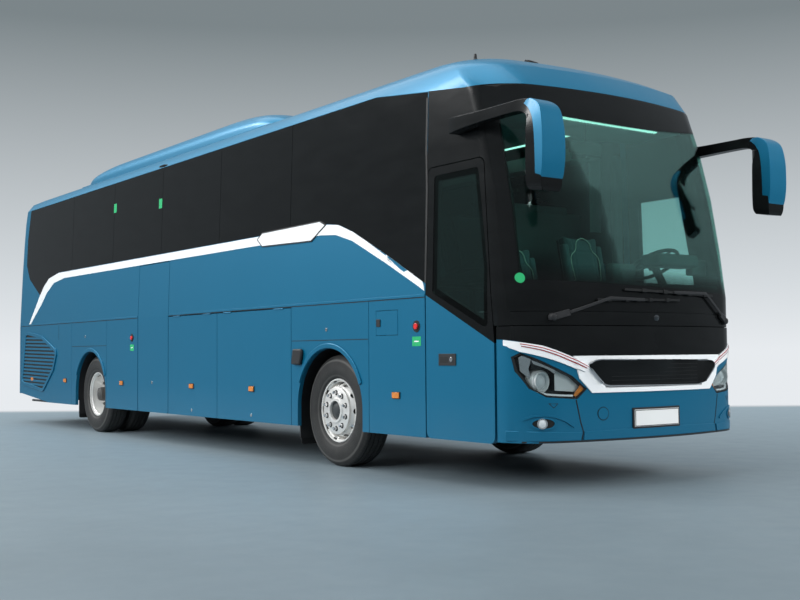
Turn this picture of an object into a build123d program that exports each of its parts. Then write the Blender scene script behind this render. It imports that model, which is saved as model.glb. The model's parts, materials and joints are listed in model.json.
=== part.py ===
"""Touring coach with two axles, an engine behind the rear axle and two swing-out doors on its right side.

Millimetres. +X is forward, +Y is left and +Z is up, with the tyres standing on z = 0. Stations along the
body are counted from the middle of its length; put() then moves every piece so that the origin lies on the
ground below the middle of the whole coach, mirrors included.
"""
from build123d import *
from math import atan2, cos, pi, sin, sqrt
import os

# ---- overall ----
LENGTH = 12295.0
WIDTH = 2550.0
WHEELBASE = 6080.0
FRONT_OVERHANG = 2870.0
MIRROR_REACH = 213.0          # mirrors ahead of the foremost point of the body

# ---- heights ----
SKIRT_Z = 355.0               # lower edge of the sides
BELT_Z = 1510.0               # moulding line, top of the skirts and flaps
STRIPE_TOP_Z = 2275.0         # lower edge of the side glass
RAIL_Z = 3340.0               # lower edge of the roof
ROOF_Z = 3565.0
COOLER_TOP_Z = 3770.0
FLOOR_Z = 1420.0              # passenger floor
PLATFORM_Z = 1000.0           # driver's floor
BAY_Z = 430.0                 # underside of the luggage bay

# ---- body shell ----
WALL = 60.0                   # upper walls, roof, front frame, rear wall
SKIRT_WALL = 40.0
DOOR_WALL = 45.0
GLASS = 8.0
GAP = 8.0                     # round every door, flap and hatch
SEAM = 6.0                    # between fixed panels
SIDE_LEAN = 60.0              # how far the sides lean in between the moulding line and the roof
FRONT_ARC = 4200.0            # the front's bow in plan, and its corners
FRONT_CORNER = 420.0
REAR_ARC = 9000.0
REAR_CORNER = 260.0
MOST_CORNER = 0.9             # of half the width at any height
BUMPER_PROUD = 10.0           # bumper ahead of the panels above it
REAR_SEAM = 330.0             # from the rear to the joint between side and rear walls

# ---- running gear ----
TYRE_R = 520.0
TYRE_WIDTH = 298.0
RIM_R = 284.0
FLANGE_R = 298.5
TWIN_SPACING = 333.0
ARCH_RISE = 20.0              # arch centre above the wheel centre
STEER_ARM = 170.0             # track rod behind the axle
STEER_ROOM = 45.0             # wheelhouse round a steered wheel, beyond the arch
FIXED_ROOM = 15.0             # and round a rear wheel
HOUSE_WALL = 15.0
PIN_PLAY = 0.5
OPEN_PLAY = 3.0               # round the pin that the steering linkage is opened at
PIN_R = 22.0                  # kingpins
STUB_R = 40.0
ROD_PIN_R = 14.0
HUB_HOLE_R = 60.0
RIM_HALF = 115.0              # half the rim's width over its flanges

# ---- stations ----
HALF = WIDTH / 2
TRACK_HALF = HALF - 77 - TYRE_WIDTH / 2  # middle of the front tyres, and of the outer rear tyres
KINGPIN_Y = TRACK_HALF - 119
HOUSE_Y = KINGPIN_Y - 400     # inner side of the wheelhouses
RAILS_Y = (HOUSE_Y - 100, HOUSE_Y - 30)  # chassis rails over the axles
ARCH_R = TYRE_R + 40
RAILS_Z = (TYRE_R + 80, TYRE_R + 240)
FRONT = LENGTH / 2
REAR = -LENGTH / 2
AXLE_F = FRONT - FRONT_OVERHANG
AXLE_R = AXLE_F - WHEELBASE
DOOR_F0 = FRONT - 1377.5      # rear and front edges of the front doorway
DOOR_F1 = FRONT - 507.5
DOOR_R0 = AXLE_R + 1627.5     # rear and front edges of the rear doorway
DOOR_R1 = AXLE_R + 2532.5
ARCH_F0, ARCH_F1 = AXLE_F - ARCH_R - 117.5, AXLE_F + ARCH_R + 102.5
ARCH_R0, ARCH_R1 = AXLE_R - ARCH_R - 167.5, AXLE_R + ARCH_R + 27.5
FLAP_SPLIT = AXLE_F - 2277.5
REAR_END = REAR + REAR_SEAM
DOOR_TOP_Z = 2582.0
DOOR_KNEE_Z = 1148.0          # where the front door's front edge starts to lean
DOOR_LEAN = 143.0
REAR_DOOR_TOP_Z = 2166.0
SCREEN_Z0 = 1362.0            # windscreen, lower and upper edges
SCREEN_Z1 = 3161.0
BUMPER_Z0, BUMPER_Z1 = 370.0, 1250.0
NOSE_Z = 1256.0               # lower edge of the panel below the windscreen
REAR_BUMPER_Z0, REAR_BUMPER_Z1 = 460.0, 800.0
HATCH_HALF = HALF - 515
HATCH_Z0, HATCH_Z1 = 830.0, 1500.0
TOW_Y, TOW_Z = -595.0, 581.0  # towing eye's socket
TOW_R = 20.0
TOW_HOLE_R = 45.0
ORIGIN_X = MIRROR_REACH / 2

# Height, set-back of the front, of the rear and of each side, and the share of a wall's thickness that
# its inner face goes down by.
SECTIONS = (
    (SKIRT_Z, 17, 0, 0, 0),
    (BELT_Z, 17, 0, 0, 0),
    (1920, 64, 10, None, 0),
    (2370, 137, 27, None, 0),
    (2830, 252, 60, None, 0),
    (3150, 362, 100, None, 0),
    (RAIL_Z, 500, 160, SIDE_LEAN, 0.2),
    (3440, 710, 250, 120, 0.5),
    (3500, 1020, 420, 240, 0.75),
    (3540, 1400, 700, 420, 0.9),
    (ROOF_Z, 1850, 1100, 670, 1),
)


def put(name, *solids):
    """Write one node, moved from the body's stations to the frame's origin."""
    export_step(Pos(-ORIGIN_X, 0, 0) * Compound(children=[s for group in solids for s in group.solids()]),
                f"parts/{name}.step")


def block(x0, x1, y0, y1, z0, z1):
    centre = Pos((x0 + x1) / 2, (y0 + y1) / 2, (z0 + z1) / 2)
    return centre * Box(abs(x1 - x0), abs(y1 - y0), abs(z1 - z0))


def both(x0, x1, y0, y1, z0, z1):
    """A block and its mirror image on the other side."""
    return block(x0, x1, y0, y1, z0, z1) + block(x0, x1, -y1, -y0, z0, z1)


def area(points, radius=0.0):
    """A closed outline as a face, its corners rounded when a radius is given."""
    line = FilletPolyline(*points, radius=radius, close=True) if radius else Polyline(*points, close=True)
    return make_face(line)


def prism(face, axis, low, high):
    """An outline drawn across an axis, pushed from low to high along it."""
    plane = {"X": Plane.YZ.offset(low), "Y": Plane.XZ.offset(-high), "Z": Plane.XY.offset(low)}[axis]
    return extrude(plane * face, high - low)


def disc(axis, centre, radius, low, high):
    """A round bar along an axis; centre gives the two other coordinates."""
    return prism(Pos(*centre) * Circle(radius), axis, low, high)


def ring(axis, centre, outer, inner, low, high):
    return disc(axis, centre, outer, low, high) - disc(axis, centre, inner, low - 1, high + 1)


# ---- the outer shape and its inner faces ----

def end_points(tip, way, half, arc, corner, inset):
    """The tip, the joints and the arcs' middles of a bowed end, way +1 at the front and -1 at the rear."""
    corner = min(corner, half * MOST_CORNER)
    tip, half, arc, corner = tip - way * inset, half - inset, arc - inset, corner - inset
    centre = tip - way * arc
    corner_y = half - corner
    corner_x = centre + way * sqrt((arc - corner) ** 2 - corner_y ** 2)
    turn = atan2(corner_y, abs(corner_x - centre))
    middle = (turn + pi / 2) / 2
    return {
        "tip": (tip, 0.0),
        "joint": (centre + way * arc * cos(turn), arc * sin(turn)),
        "bend": (corner_x + way * corner * cos(middle), corner_y + corner * sin(middle)),
        "side": (corner_x, half),
    }


def plan_face(z, front, rear, half, inset):
    """The plan outline at one height: straight sides, round corners and bowed ends."""
    f = end_points(front, 1, half, FRONT_ARC, FRONT_CORNER, inset)
    r = end_points(rear, -1, half, REAR_ARC, REAR_CORNER, inset)

    def at(point, side):
        return (point[0], side * point[1], z)

    edges = (
        Line(at(r["side"], -1), at(f["side"], -1)),
        ThreePointArc(at(f["side"], -1), at(f["bend"], -1), at(f["joint"], -1)),
        ThreePointArc(at(f["joint"], -1), at(f["tip"], 1), at(f["joint"], 1)),
        ThreePointArc(at(f["joint"], 1), at(f["bend"], 1), at(f["side"], 1)),
        Line(at(f["side"], 1), at(r["side"], 1)),
        ThreePointArc(at(r["side"], 1), at(r["bend"], 1), at(r["joint"], 1)),
        ThreePointArc(at(r["joint"], 1), at(r["tip"], 1), at(r["joint"], -1)),
        ThreePointArc(at(r["joint"], -1), at(r["bend"], -1), at(r["side"], -1)),
    )
    return make_face(edges)


ENVELOPES = {}


def envelope(inset):
    """Everything inside the body's outer face, or inside a face that lies inset behind it."""
    if inset not in ENVELOPES:
        faces = []
        for z, front_back, rear_back, side_in, share in SECTIONS:
            if side_in is None:
                side_in = SIDE_LEAN * (z - BELT_Z) / (RAIL_Z - BELT_Z)
            below = 20 if z == SKIRT_Z and inset else 0
            faces.append(plan_face(z - share * inset - below, FRONT - front_back, REAR + rear_back,
                                   HALF - side_in, inset))
        ENVELOPES[inset] = loft(faces, ruled=True)
    return ENVELOPES[inset]


SHELLS = {}


def shell(outer, inner):
    """The body's wall between two depths."""
    if (outer, inner) not in SHELLS:
        SHELLS[outer, inner] = envelope(outer) - envelope(inner)
    return SHELLS[outer, inner]


def side_in(z):
    """How far the outer face of a side lies in from half the width at a height."""
    return SIDE_LEAN * max(0.0, z - BELT_Z) / (RAIL_Z - BELT_Z)


def bumper_shell(outer, inner, z0, z1):
    """A wall of the front bumper, which bows ahead of the panels above it."""
    faces = [plan_face(z0, FRONT, REAR, HALF, depth) for depth in (outer, inner)]
    return extrude(faces[0], z1 - z0) - extrude(faces[1], z1 - z0)


FAR = 2 * WIDTH
# Lower edge of the roof seen from the side: level along the body, lower over the front.
ROOF_EDGE = ((REAR - 500, RAIL_Z), (FRONT - 2150, RAIL_Z), (FRONT - 900, 3182), (FRONT - 550, SCREEN_Z1 + 4),
             (FRONT + 500, SCREEN_Z1 + 4))
ROOF_ZONE = prism(area(ROOF_EDGE + ((FRONT + 500, 4200), (REAR - 500, 4200))), "Y", -FAR, FAR)

# Black glazed zone of a side, from its lower front corner round to the rear.
SIDE_ZONE = (
    (DOOR_F0 - 5, 1628), (DOOR_F0 - 39, 1645), (DOOR_F0 - 564, 1906), (DOOR_F0 - 1108, 2161),
    (DOOR_F0 - 1346, 2245), (DOOR_F0 - 1577, STRIPE_TOP_Z),
    (REAR + 1997, STRIPE_TOP_Z), (REAR + 1577, 2210), (REAR + 1362, 2106), (REAR + 1179, 1972),
    (REAR + 661, 2248), (REAR + 489, 2476), (REAR + 494, 2865), (REAR + 597, RAIL_Z - 4),
    (FRONT - 2150, RAIL_Z - 4), (DOOR_F0 - 5, 3238),
)
PANE_PITCH = 1540.0
FIRST_PANE = 2230.0           # length of the foremost pane
LAST_PANE = 1500.0            # shortest length that is left for the rearmost pane
OPENING_Z = (STRIPE_TOP_Z + 75, RAIL_Z - 80)
OPENING_EDGE = 65.0           # from a pane's end to the opening behind it


def pane_ends():
    """Stations of the joints between panes, from the front to the rear."""
    joints = [DOOR_F0 - FIRST_PANE]
    while joints[-1] - PANE_PITCH > REAR + 494 + LAST_PANE:
        joints.append(joints[-1] - PANE_PITCH)
    return [DOOR_F0 - 5] + joints + [REAR + 489]


def opening_faces():
    """The window openings behind the panes; the foremost one goes down with the stripe."""
    ends = pane_ends()
    low, high = OPENING_Z
    front = area(((ends[0] - OPENING_EDGE, 1770), (ends[0] - 610, 2035), (ends[0] - 1300, low),
                  (ends[1] + OPENING_EDGE, low), (ends[1] + OPENING_EDGE, high),
                  (FRONT - 2150, high), (ends[0] - OPENING_EDGE, high - 85)), 50)
    faces = [front]
    for x1, x0 in zip(ends[1:-1], ends[2:]):
        edge = OPENING_EDGE + (110 if x0 == ends[-1] else 0)
        faces.append(area(((x0 + edge, low), (x1 - OPENING_EDGE, low), (x1 - OPENING_EDGE, high),
                           (x0 + edge, high)), 50))
    return faces


def door_face(grow=0.0):
    """Outline of the front door seen from the side, or of its doorway."""
    x0, x1 = DOOR_F0 + GAP - grow, DOOR_F1 - GAP + grow
    top = DOOR_TOP_Z + grow
    return area(((x0, SKIRT_Z - grow), (x1, SKIRT_Z - grow), (x1, DOOR_KNEE_Z),
                 (x1 - DOOR_LEAN, top), (x0, top)), 60 + grow)


def rear_door_face(grow=0.0):
    x0, x1 = DOOR_R0 + GAP - grow, DOOR_R1 - GAP + grow
    return area(((x0, SKIRT_Z - grow), (x1, SKIRT_Z - grow), (x1, REAR_DOOR_TOP_Z + grow),
                 (x0, REAR_DOOR_TOP_Z + grow)), 25 + grow)


def half_space(side):
    """The right (-1) or the left (+1) half of the body."""
    return block(REAR - 500, FRONT + 500, min(0, side * FAR), max(0, side * FAR), 0, 4200)


def arches(x):
    """What an arch takes out of the skirts: a round top and straight legs."""
    z = TYRE_R + ARCH_RISE
    return disc("Y", (x, z), ARCH_R, -FAR, FAR) + block(x - ARCH_R, x + ARCH_R, -FAR, FAR, 0, z)


# ---- shell pieces ----

def make_roof():
    put("roof", shell(0, WALL) & ROOF_ZONE)


COOLER_X = (REAR + 2150, REAR + 8050)   # rear and front ends of the air conditioner
COOLER_HALF = HALF - 275
COOLER_WALL = 25.0


def cooler_body(inset):
    """The air conditioner's outer shape: a low box that tapers to both ends and to its top."""
    rear, front = COOLER_X
    top = COOLER_TOP_Z - inset
    levels = ((3380, 0, 0), (3560, 40, 10), (3700, 190, 60), (top, 620, 190))
    faces = []
    for z, end_in, side_in_by in levels:
        x0, x1 = rear + end_in + inset, front - end_in - inset
        y = COOLER_HALF - side_in_by - inset
        faces.append(Pos(0, 0, z) * area(((x0 + 350, -y), (x1 - 350, -y), (x1, -y + 330), (x1, y - 330),
                                          (x1 - 350, y), (x0 + 350, y), (x0, y - 330), (x0, -y + 330))))
    return loft(faces, ruled=True)


def make_air_conditioner():
    put("roof_air_conditioner", cooler_body(0) - cooler_body(COOLER_WALL) - envelope(0))


def make_sides():
    wall_zone = area(((REAR_END, BELT_Z), (DOOR_F0, BELT_Z), (DOOR_F0, 4200), (REAR_END, 4200)))
    wall = (shell(0, WALL) & prism(wall_zone, "Y", -FAR, FAR)) - ROOF_ZONE
    glazed = prism(area(SIDE_ZONE), "Y", -FAR, FAR)
    wall -= shell(0, GLASS) & glazed
    for face in opening_faces():
        wall -= prism(face, "Y", -FAR, FAR)
    right = (wall & half_space(-1)) - prism(rear_door_face(GAP), "Y", -FAR, 0)
    put("side_wall_right", right)
    put("side_wall_left", wall & half_space(1))
    skin = shell(0, GLASS) & prism(offset(area(SIDE_ZONE), -SEAM / 2, kind=Kind.INTERSECTION), "Y", -FAR, FAR)
    for x in pane_ends()[1:-1]:
        skin -= block(x - SEAM / 2, x + SEAM / 2, -FAR, FAR, 0, 4200)
    driver = area(((FRONT - 1310, 1560), (FRONT - 560, 1290), (FRONT - 575, 1700), (FRONT - 715, 2520),
                   (FRONT - 1310, 2520)), 50)
    pane = shell(0, GLASS) & prism(driver, "Y", 0, FAR)
    put("side_glass_right", skin & half_space(-1))
    put("side_glass_left", skin & half_space(1), pane)
    return driver


def skirt_piece(side, x0, x1, top=BELT_Z, wall=SKIRT_WALL):
    return shell(0, wall) & half_space(side) & block(x0, x1, -FAR, FAR, 0, top)


FUEL_X = (FRONT - 2087.5, FRONT - 1767.5)
FUEL_Z = (1210.0, 1420.0)
FUEL_WALL = 20.0
FUEL_GAP = 4.0


def make_skirts():
    pieces = {-1: ((ARCH_F1 + SEAM, DOOR_F0 - SEAM, BELT_Z), (ARCH_F0, ARCH_F1, BELT_Z),
                   (ARCH_R1 + SEAM, DOOR_R0 - GAP, BELT_Z), (ARCH_R0, ARCH_R1, BELT_Z),
                   (REAR_END + SEAM, ARCH_R0 - SEAM, BELT_Z)),
              1: ((DOOR_F0 + SEAM, DOOR_F1, NOSE_Z), (ARCH_F1 + SEAM, DOOR_F0, BELT_Z),
                  (ARCH_F0, ARCH_F1, BELT_Z), (ARCH_R1 + SEAM, DOOR_R1 - GAP, BELT_Z),
                  (ARCH_R0, ARCH_R1, BELT_Z), (REAR_END + SEAM, ARCH_R0 - SEAM, BELT_Z))}
    rise = area(((REAR_END - 400, 0), (REAR + 1650, 0), (REAR + 1650, SKIRT_Z),
                 (REAR_END - 400, REAR_BUMPER_Z0 + 40)))
    pocket = block(FUEL_X[0] - FUEL_GAP, FUEL_X[1] + FUEL_GAP, -FAR, 0, FUEL_Z[0] - FUEL_GAP,
                   FUEL_Z[1] + FUEL_GAP)
    for side, name in ((-1, "side_skirt_right"), (1, "side_skirt_left")):
        solids = []
        for x0, x1, top in pieces[side]:
            piece = skirt_piece(side, x0, x1, top) - arches(AXLE_F) - arches(AXLE_R)
            piece -= prism(rise, "Y", -FAR, FAR)
            solids.append(piece - pocket)
        put(name, *solids)
    lid = shell(0, FUEL_WALL) & block(*FUEL_X, -FAR, 0, *FUEL_Z)
    barrel = disc("Z", (FUEL_X[1], -HALF), FUEL_GAP - 0.4, FUEL_Z[0] + 30, FUEL_Z[1] - 30)
    put("fuel_flap", lid + barrel)


def make_luggage_flaps():
    """Flaps hinged along the moulding line, on a barrel at the outer corner of their upper edge."""
    spans = {"front": (FLAP_SPLIT + GAP / 2, ARCH_F0 - GAP), "rear": (DOOR_R1 + GAP / 2, FLAP_SPLIT - GAP / 2)}
    for end, (x0, x1) in spans.items():
        for side, word in ((-1, "right"), (1, "left")):
            top = BELT_Z - GAP
            panel = skirt_piece(side, x0, x1, top)
            for x in (x0 + 150, x1 - 330):
                panel += disc("X", (side * HALF, top), GAP - 0.4, x, x + 180)
            put(f"luggage_flap_{word}_{end}", panel)


SCREEN_EDGE = ((5775, SCREEN_Z0), (5720, 1740), (5640, 2260), (5505, 2750), (5440, 3030), (5415, SCREEN_Z1))


def screen_face(shift, low, high):
    """Seen from the side, what lies ahead of the windscreen's side edges, moved forward by shift."""
    back = FRONT - 6147.5 + shift
    edge = [(x + back, z) for x, z in SCREEN_EDGE[1:-1]]
    first, last = SCREEN_EDGE[0][0] + back, SCREEN_EDGE[-1][0] + back
    return area([(first, low)] + edge + [(last, high), (FRONT + 500, high), (FRONT + 500, low)])


def make_front(driver):
    zone = area(((DOOR_F0, NOSE_Z), (FRONT + 500, NOSE_Z), (FRONT + 500, 4200), (DOOR_F0, 4200)))
    frame = (shell(0, WALL) & prism(zone, "Y", -FAR, FAR)) - ROOF_ZONE
    frame -= shell(0, GLASS) & prism(screen_face(-4, SCREEN_Z0 - 4, SCREEN_Z1 + 4), "Y", -FAR, FAR)
    frame -= prism(screen_face(75, SCREEN_Z0 + 118, SCREEN_Z1 - 81), "Y", -FAR, FAR)
    frame -= prism(door_face(GAP), "Y", -FAR, 0)
    frame -= (shell(0, GLASS) & prism(offset(driver, 4), "Y", 0, FAR))
    frame -= prism(offset(driver, -55), "Y", 0, FAR)
    put("front_frame", frame)
    put("windscreen", shell(0, GLASS) & prism(screen_face(0, SCREEN_Z0, SCREEN_Z1), "Y", -FAR, FAR))


# Right halves of the front's outlines, each point's y counted in from half the width.
GRILLE_RIM = ((425, 1022), (475, 851), (585, 740))
GRILLE_MESH = ((615, 985), (545, 950), (715, 775))
HEADLIGHT = ((38, 1018), (71, 1050), (259, 945), (415, 872), (545, 771), (457, 695), (208, 714), (109, 779),
             (50, 908))
HEADLIGHT_DEPTH = 55.0
GRILLE_DEPTH = 60.0


def right_points(outline):
    return [(depth - HALF, z) for depth, z in outline]


def mirrored(points):
    return [(-y, z) for y, z in reversed(points)]


def across(outline):
    """A closed outline from its right half."""
    points = right_points(outline)
    return area(points + mirrored(points))


def make_bumper():
    ahead = block(DOOR_F1 + GAP, FRONT + 500, -FAR, FAR, 0, 4200)
    bumper = bumper_shell(BUMPER_PROUD, SKIRT_WALL, BUMPER_Z0, BUMPER_Z1)
    bumper += bumper_shell(SKIRT_WALL / 2 + BUMPER_PROUD, SKIRT_WALL, BUMPER_Z1, NOSE_Z)
    bumper = bumper & ahead
    rim = prism(across(GRILLE_RIM), "X", 0, FRONT + 500)
    mesh = prism(across(GRILLE_MESH), "X", 0, FRONT + 500)
    lamp = right_points(HEADLIGHT)
    lamps = [prism(area(points), "X", 0, FRONT + 500) for points in (lamp, mirrored(lamp))]
    put("front_bumper", bumper - rim - lamps[0] - lamps[1] - disc("X", (TOW_Y, TOW_Z), TOW_HOLE_R, 0, FRONT))
    grille = bumper_shell(0, GRILLE_DEPTH, 700, 1100) & (rim - mesh)
    grille += bumper_shell(GRILLE_DEPTH - 30, GRILLE_DEPTH, 700, 1100) & mesh
    put("front_grille", grille & ahead)
    bowl = bumper_shell(BUMPER_PROUD + 3, HEADLIGHT_DEPTH, 600, 1100) & ahead
    put("headlights", bowl & lamps[0], bowl & lamps[1])


def make_rear():
    behind = block(REAR - 500, REAR_END, -FAR, FAR, REAR_BUMPER_Z1, 4200)
    wall = (shell(0, WALL) & behind) - ROOF_ZONE
    foot, head = HALF - 375, HALF - 415
    window = area(((-foot, 2150), (foot, 2150), (head, 3050), (-head, 3050)), 80)
    opening = area(((-HATCH_HALF - GAP, HATCH_Z0 - GAP), (HATCH_HALF + GAP, HATCH_Z0 - GAP),
                    (HATCH_HALF + GAP, HATCH_Z1 + GAP), (-HATCH_HALF - GAP, HATCH_Z1 + GAP)), 20)
    hatch = area(((-HATCH_HALF, HATCH_Z0), (HATCH_HALF, HATCH_Z0), (HATCH_HALF, HATCH_Z1),
                  (-HATCH_HALF, HATCH_Z1)), 12)
    wall -= shell(0, GLASS) & prism(offset(window, 4), "X", REAR - 500, 0)
    wall -= prism(offset(window, -60), "X", REAR - 500, 0)
    wall -= prism(opening, "X", REAR - 500, 0)
    lamp = shell(0, 35) & both(REAR - 500, REAR + 170, HALF - 225, FAR, 1080, 1420)
    put("rear_wall", wall - lamp)
    put("tail_lamps", lamp)
    put("rear_window", shell(0, GLASS) & prism(window, "X", REAR - 500, 0))
    low = block(REAR - 500, REAR_END, -FAR, FAR, REAR_BUMPER_Z0, REAR_BUMPER_Z1)
    put("rear_bumper", shell(0, WALL) & low)
    lid = shell(0, SKIRT_WALL) & prism(hatch, "X", REAR - 500, 0)
    put("engine_hatch", lid + disc("Y", (REAR, HATCH_Z1), GAP - 0.4, -150, 150))


# ---- inside ----

SEAT_PITCH = 780.0
FIRST_SEAT = FRONT - 2330.0   # front edge of the foremost passenger seat
SEAT_ROWS = 12
BENCH_Y = (240.0, HALF - 135)


def bench(x, y0, y1, floor, back_top=1080.0):
    """A seat: cushion, leaning back and the leg that carries it. x is the cushion's front edge."""
    cushion = block(x - 480, x, y0, y1, floor + 330, floor + 450)
    lean = area(((x - 480, floor + 330), (x - 380, floor + 450), (x - 560, floor + back_top),
                 (x - 660, floor + back_top), (x - 640, floor + 700)))
    middle = (y0 + y1) / 2
    leg = block(x - 400, x - 140, middle - 60, middle + 60, floor, floor + 330)
    return cushion + prism(lean, "Y", y0, y1) + leg


def make_seats():
    rows = [FIRST_SEAT - SEAT_PITCH * i for i in range(SEAT_ROWS)]
    rows = [x for x in rows if x - 660 > REAR + 260]
    beside_door = [x for x in rows if x - 660 > DOOR_R1 or x < DOOR_R0 - 40]
    put("passenger_seats_left", *[bench(x, *BENCH_Y, FLOOR_Z) for x in rows])
    put("passenger_seats_right", *[bench(x, -BENCH_Y[1], -BENCH_Y[0], FLOOR_Z) for x in beside_door])
    driver = bench(FRONT - 960, HALF - 875, HALF - 375, PLATFORM_Z, 1150)
    guide = bench(FRONT - 960, -380, 40, PLATFORM_Z, 1000)
    put("front_seats", driver, guide)


def make_racks():
    """Luggage racks along both sides above the seats: a shelf with a raised front lip and a wall flange."""
    x0, x1 = REAR + 400, FRONT - 1700
    racks = []
    for side in (-1, 1):
        profile = [(80, 2940), (515, 2890), (535, 3010), (520, 3012), (503, 2908), (95, 2957),
                   (110, 3100), (80, 3100)]
        points = [(side * (HALF - depth), z) for depth, z in profile]
        racks.append(prism(area(points), "X", x0, x1) & envelope(WALL))
    put("luggage_racks", *racks)


STEER_CENTRE = (FRONT - 600, HALF - 625, 1800.0)
STEER_TILT = 30.0             # of the steering wheel's axis from the vertical, towards the rear
STEER_R = 225.0


def on_column():
    """Local frame of the steering wheel: its axis leans back from the vertical."""
    return Pos(*STEER_CENTRE) * Rot(0, -STEER_TILT, 0)


def make_controls():
    profile = area(((FRONT - 560, PLATFORM_Z), (FRONT - 560, 1380), (FRONT - 500, 1560), (FRONT - 330, 1620),
                    (FRONT + 100, 1520), (FRONT + 100, PLATFORM_Z)))
    dash = prism(profile, "Y", -560, HALF - 60) & envelope(WALL)
    y = STEER_CENTRE[1]
    dash -= block(FRONT - 700, FRONT - 300, y - 320, y + 310, PLATFORM_Z - 1, 1370)
    column = on_column() * (Pos(0, 0, -260) * Cylinder(35, 480))
    column += dash & block(FRONT - 520, FRONT, y - 150, y + 150, 1380, 1500)
    put("dashboard", dash + column)
    wheel = Torus(STEER_R, 16)
    for turn in (0, 120, 240):
        wheel += Rot(0, 0, turn) * Pos(STEER_R / 2, 0, -6) * Box(STEER_R, 26, 10)
    wheel += Pos(0, 0, -8) * Cylinder(55, 40)
    put("steering_wheel", on_column() * Pos(0, 0, 8.3) * wheel)


STEP_Z = 370.0                # lowest step
STEP_RUN = 250.0
STEPS = 3
WELL_Y = -HALF + STEPS * STEP_RUN  # inner side of the step wells


def steps(x0, x1, deck):
    """Treads, risers and side cheeks of one step well, up to the deck."""
    first_y = -HALF + SKIRT_WALL + 25
    rise = (deck - STEP_Z) / STEPS
    well = None
    for step in range(STEPS):
        y0, z = first_y + STEP_RUN * step, STEP_Z + rise * step
        y1 = min(y0 + STEP_RUN + 20, WELL_Y + 20)
        tread = block(x0, x1, y0, y1, z, z + 25) + block(x0, x1, y1 - 20, y1, z, min(z + rise, deck - 15))
        well = tread if well is None else well + tread
    for x in (x0, x1 - 15):
        well += block(x, x + 15, first_y, WELL_Y + 20, STEP_Z, deck - 20)
    return well


def make_floor():
    """Passenger floor, driver's platform, riser between them and the steps behind both doors."""
    inner = HALF - SKIRT_WALL
    whole = block(REAR, FRONT - 1950, -HALF, HALF, FLOOR_Z - 50, FLOOR_Z)
    whole += block(FRONT - 2000, FRONT, -HALF, HALF, PLATFORM_Z - 40, PLATFORM_Z)
    whole += block(FRONT - 2000, FRONT - 1950, -HALF, HALF, PLATFORM_Z - 40, FLOOR_Z)
    for x0, x1, deck in ((DOOR_F0, DOOR_F1, PLATFORM_Z), (DOOR_R0 - 10, DOOR_R1 + 10, FLOOR_Z)):
        whole -= block(x0, x1, -FAR, WELL_Y, deck - 60, deck + 1)
        whole += steps(x0, x1, deck)
    put("floor", whole & (envelope(WALL) + block(REAR_END, DOOR_F1 - 60, -inner, inner, 0, BELT_Z - 90)))


def make_underframe():
    """Rails over both axles, the luggage bay's floor and bulkheads between them, and outriggers."""
    inner = HALF - SKIRT_WALL
    y0, y1 = RAILS_Y
    z0, z1 = RAILS_Z
    bay0, bay1 = ARCH_R1 + 10, ARCH_F0 - 40
    frame = block(bay0, bay1, -inner, inner, BAY_Z, BAY_Z + 40)
    for x in (bay0, bay1):
        frame += block(x, x + 40, -inner, inner, BAY_Z, FLOOR_Z - 50)
    frame += both(bay1 + 40, FRONT, y0, y1, z0, z1) + both(REAR, bay0, y0, y1, z0, z1)
    for x in (REAR + 350, REAR + 1750, FRONT - 1950, FRONT - 260):
        frame += block(x, x + 60, -y0, y0, z0 + 40, z0 + 120)
    outriggers = (REAR_END + 150, ARCH_R0 - 130, ARCH_F1 + 60)
    for x in outriggers:
        frame += both(x, x + 80, y1, inner, z0 + 40, z0 + 120)
    frame += block(DOOR_F1 - 200, DOOR_F1 - 120, y1, inner, z0 + 40, z0 + 120)
    frame += both(ARCH_F1 + 60, ARCH_F1 + 140, y0, y1, z1, PLATFORM_Z - 40)
    frame += both(REAR + 350, REAR + 410, y0, y1, z1, FLOOR_Z - 50)
    frame -= block(DOOR_R0 - 15, DOOR_R1 + 15, -FAR, WELL_Y + 25, 0, FLOOR_Z)
    put("underframe", frame & (envelope(WALL) + block(REAR_END, DOOR_F1 - 60, -inner, inner, 0, 1500)))


def make_tow_socket():
    """Threaded socket for a towing eye, on a bracket at the end of the right rail."""
    x1 = FRONT - 150
    bracket = block(x1 - 70, x1, TOW_Y - 55, -RAILS_Y[1], TOW_Z - 50, RAILS_Z[0] + 41)
    put("tow_socket", bracket - disc("X", (TOW_Y, TOW_Z), TOW_R, 0, FRONT))


def make_engine():
    put("engine", block(REAR + 420, REAR + 1700, -RAILS_Y[0], RAILS_Y[0], RAILS_Z[0] - 80, 1300))


def house(x, room):
    """Wheelhouse over one wheel: tunnel, inner side and the mud flap behind the wheel."""
    z, inner_r = TYRE_R + ARCH_RISE, ARCH_R + room
    outer_r = inner_r + HOUSE_WALL
    y1 = HALF - SKIRT_WALL
    tunnel = disc("Y", (x, z), outer_r, HOUSE_Y, y1) + block(x - outer_r, x + outer_r, HOUSE_Y, y1, 420, z)
    tunnel -= disc("Y", (x, z), inner_r, HOUSE_Y + HOUSE_WALL, y1 + 1)
    tunnel -= block(x - inner_r, x + inner_r, HOUSE_Y + HOUSE_WALL, y1 + 1, 0, z)
    tunnel -= block(x - outer_r - 1, x + outer_r + 1, HOUSE_Y - 1, y1 + 1, -200, 420)
    flap = block(x - outer_r, x - outer_r + HOUSE_WALL, HOUSE_Y + 200, y1 - 20, 230, 421)
    return tunnel + flap


def make_wheelhouses():
    solids = []
    for x, room in ((AXLE_F, STEER_ROOM), (AXLE_R, FIXED_ROOM)):
        left = house(x, room) - block(x - STEER_ARM - 60, x + 110, HOUSE_Y - 30, HOUSE_Y + 90, 0, RAILS_Z[0])
        left -= disc("Y", (x, TYRE_R), 150, HOUSE_Y - 30, HOUSE_Y + 90)
        solids += [left, mirror(left, Plane.XZ)]
    put("wheelhouses", *solids)


# ---- running gear ----

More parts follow.
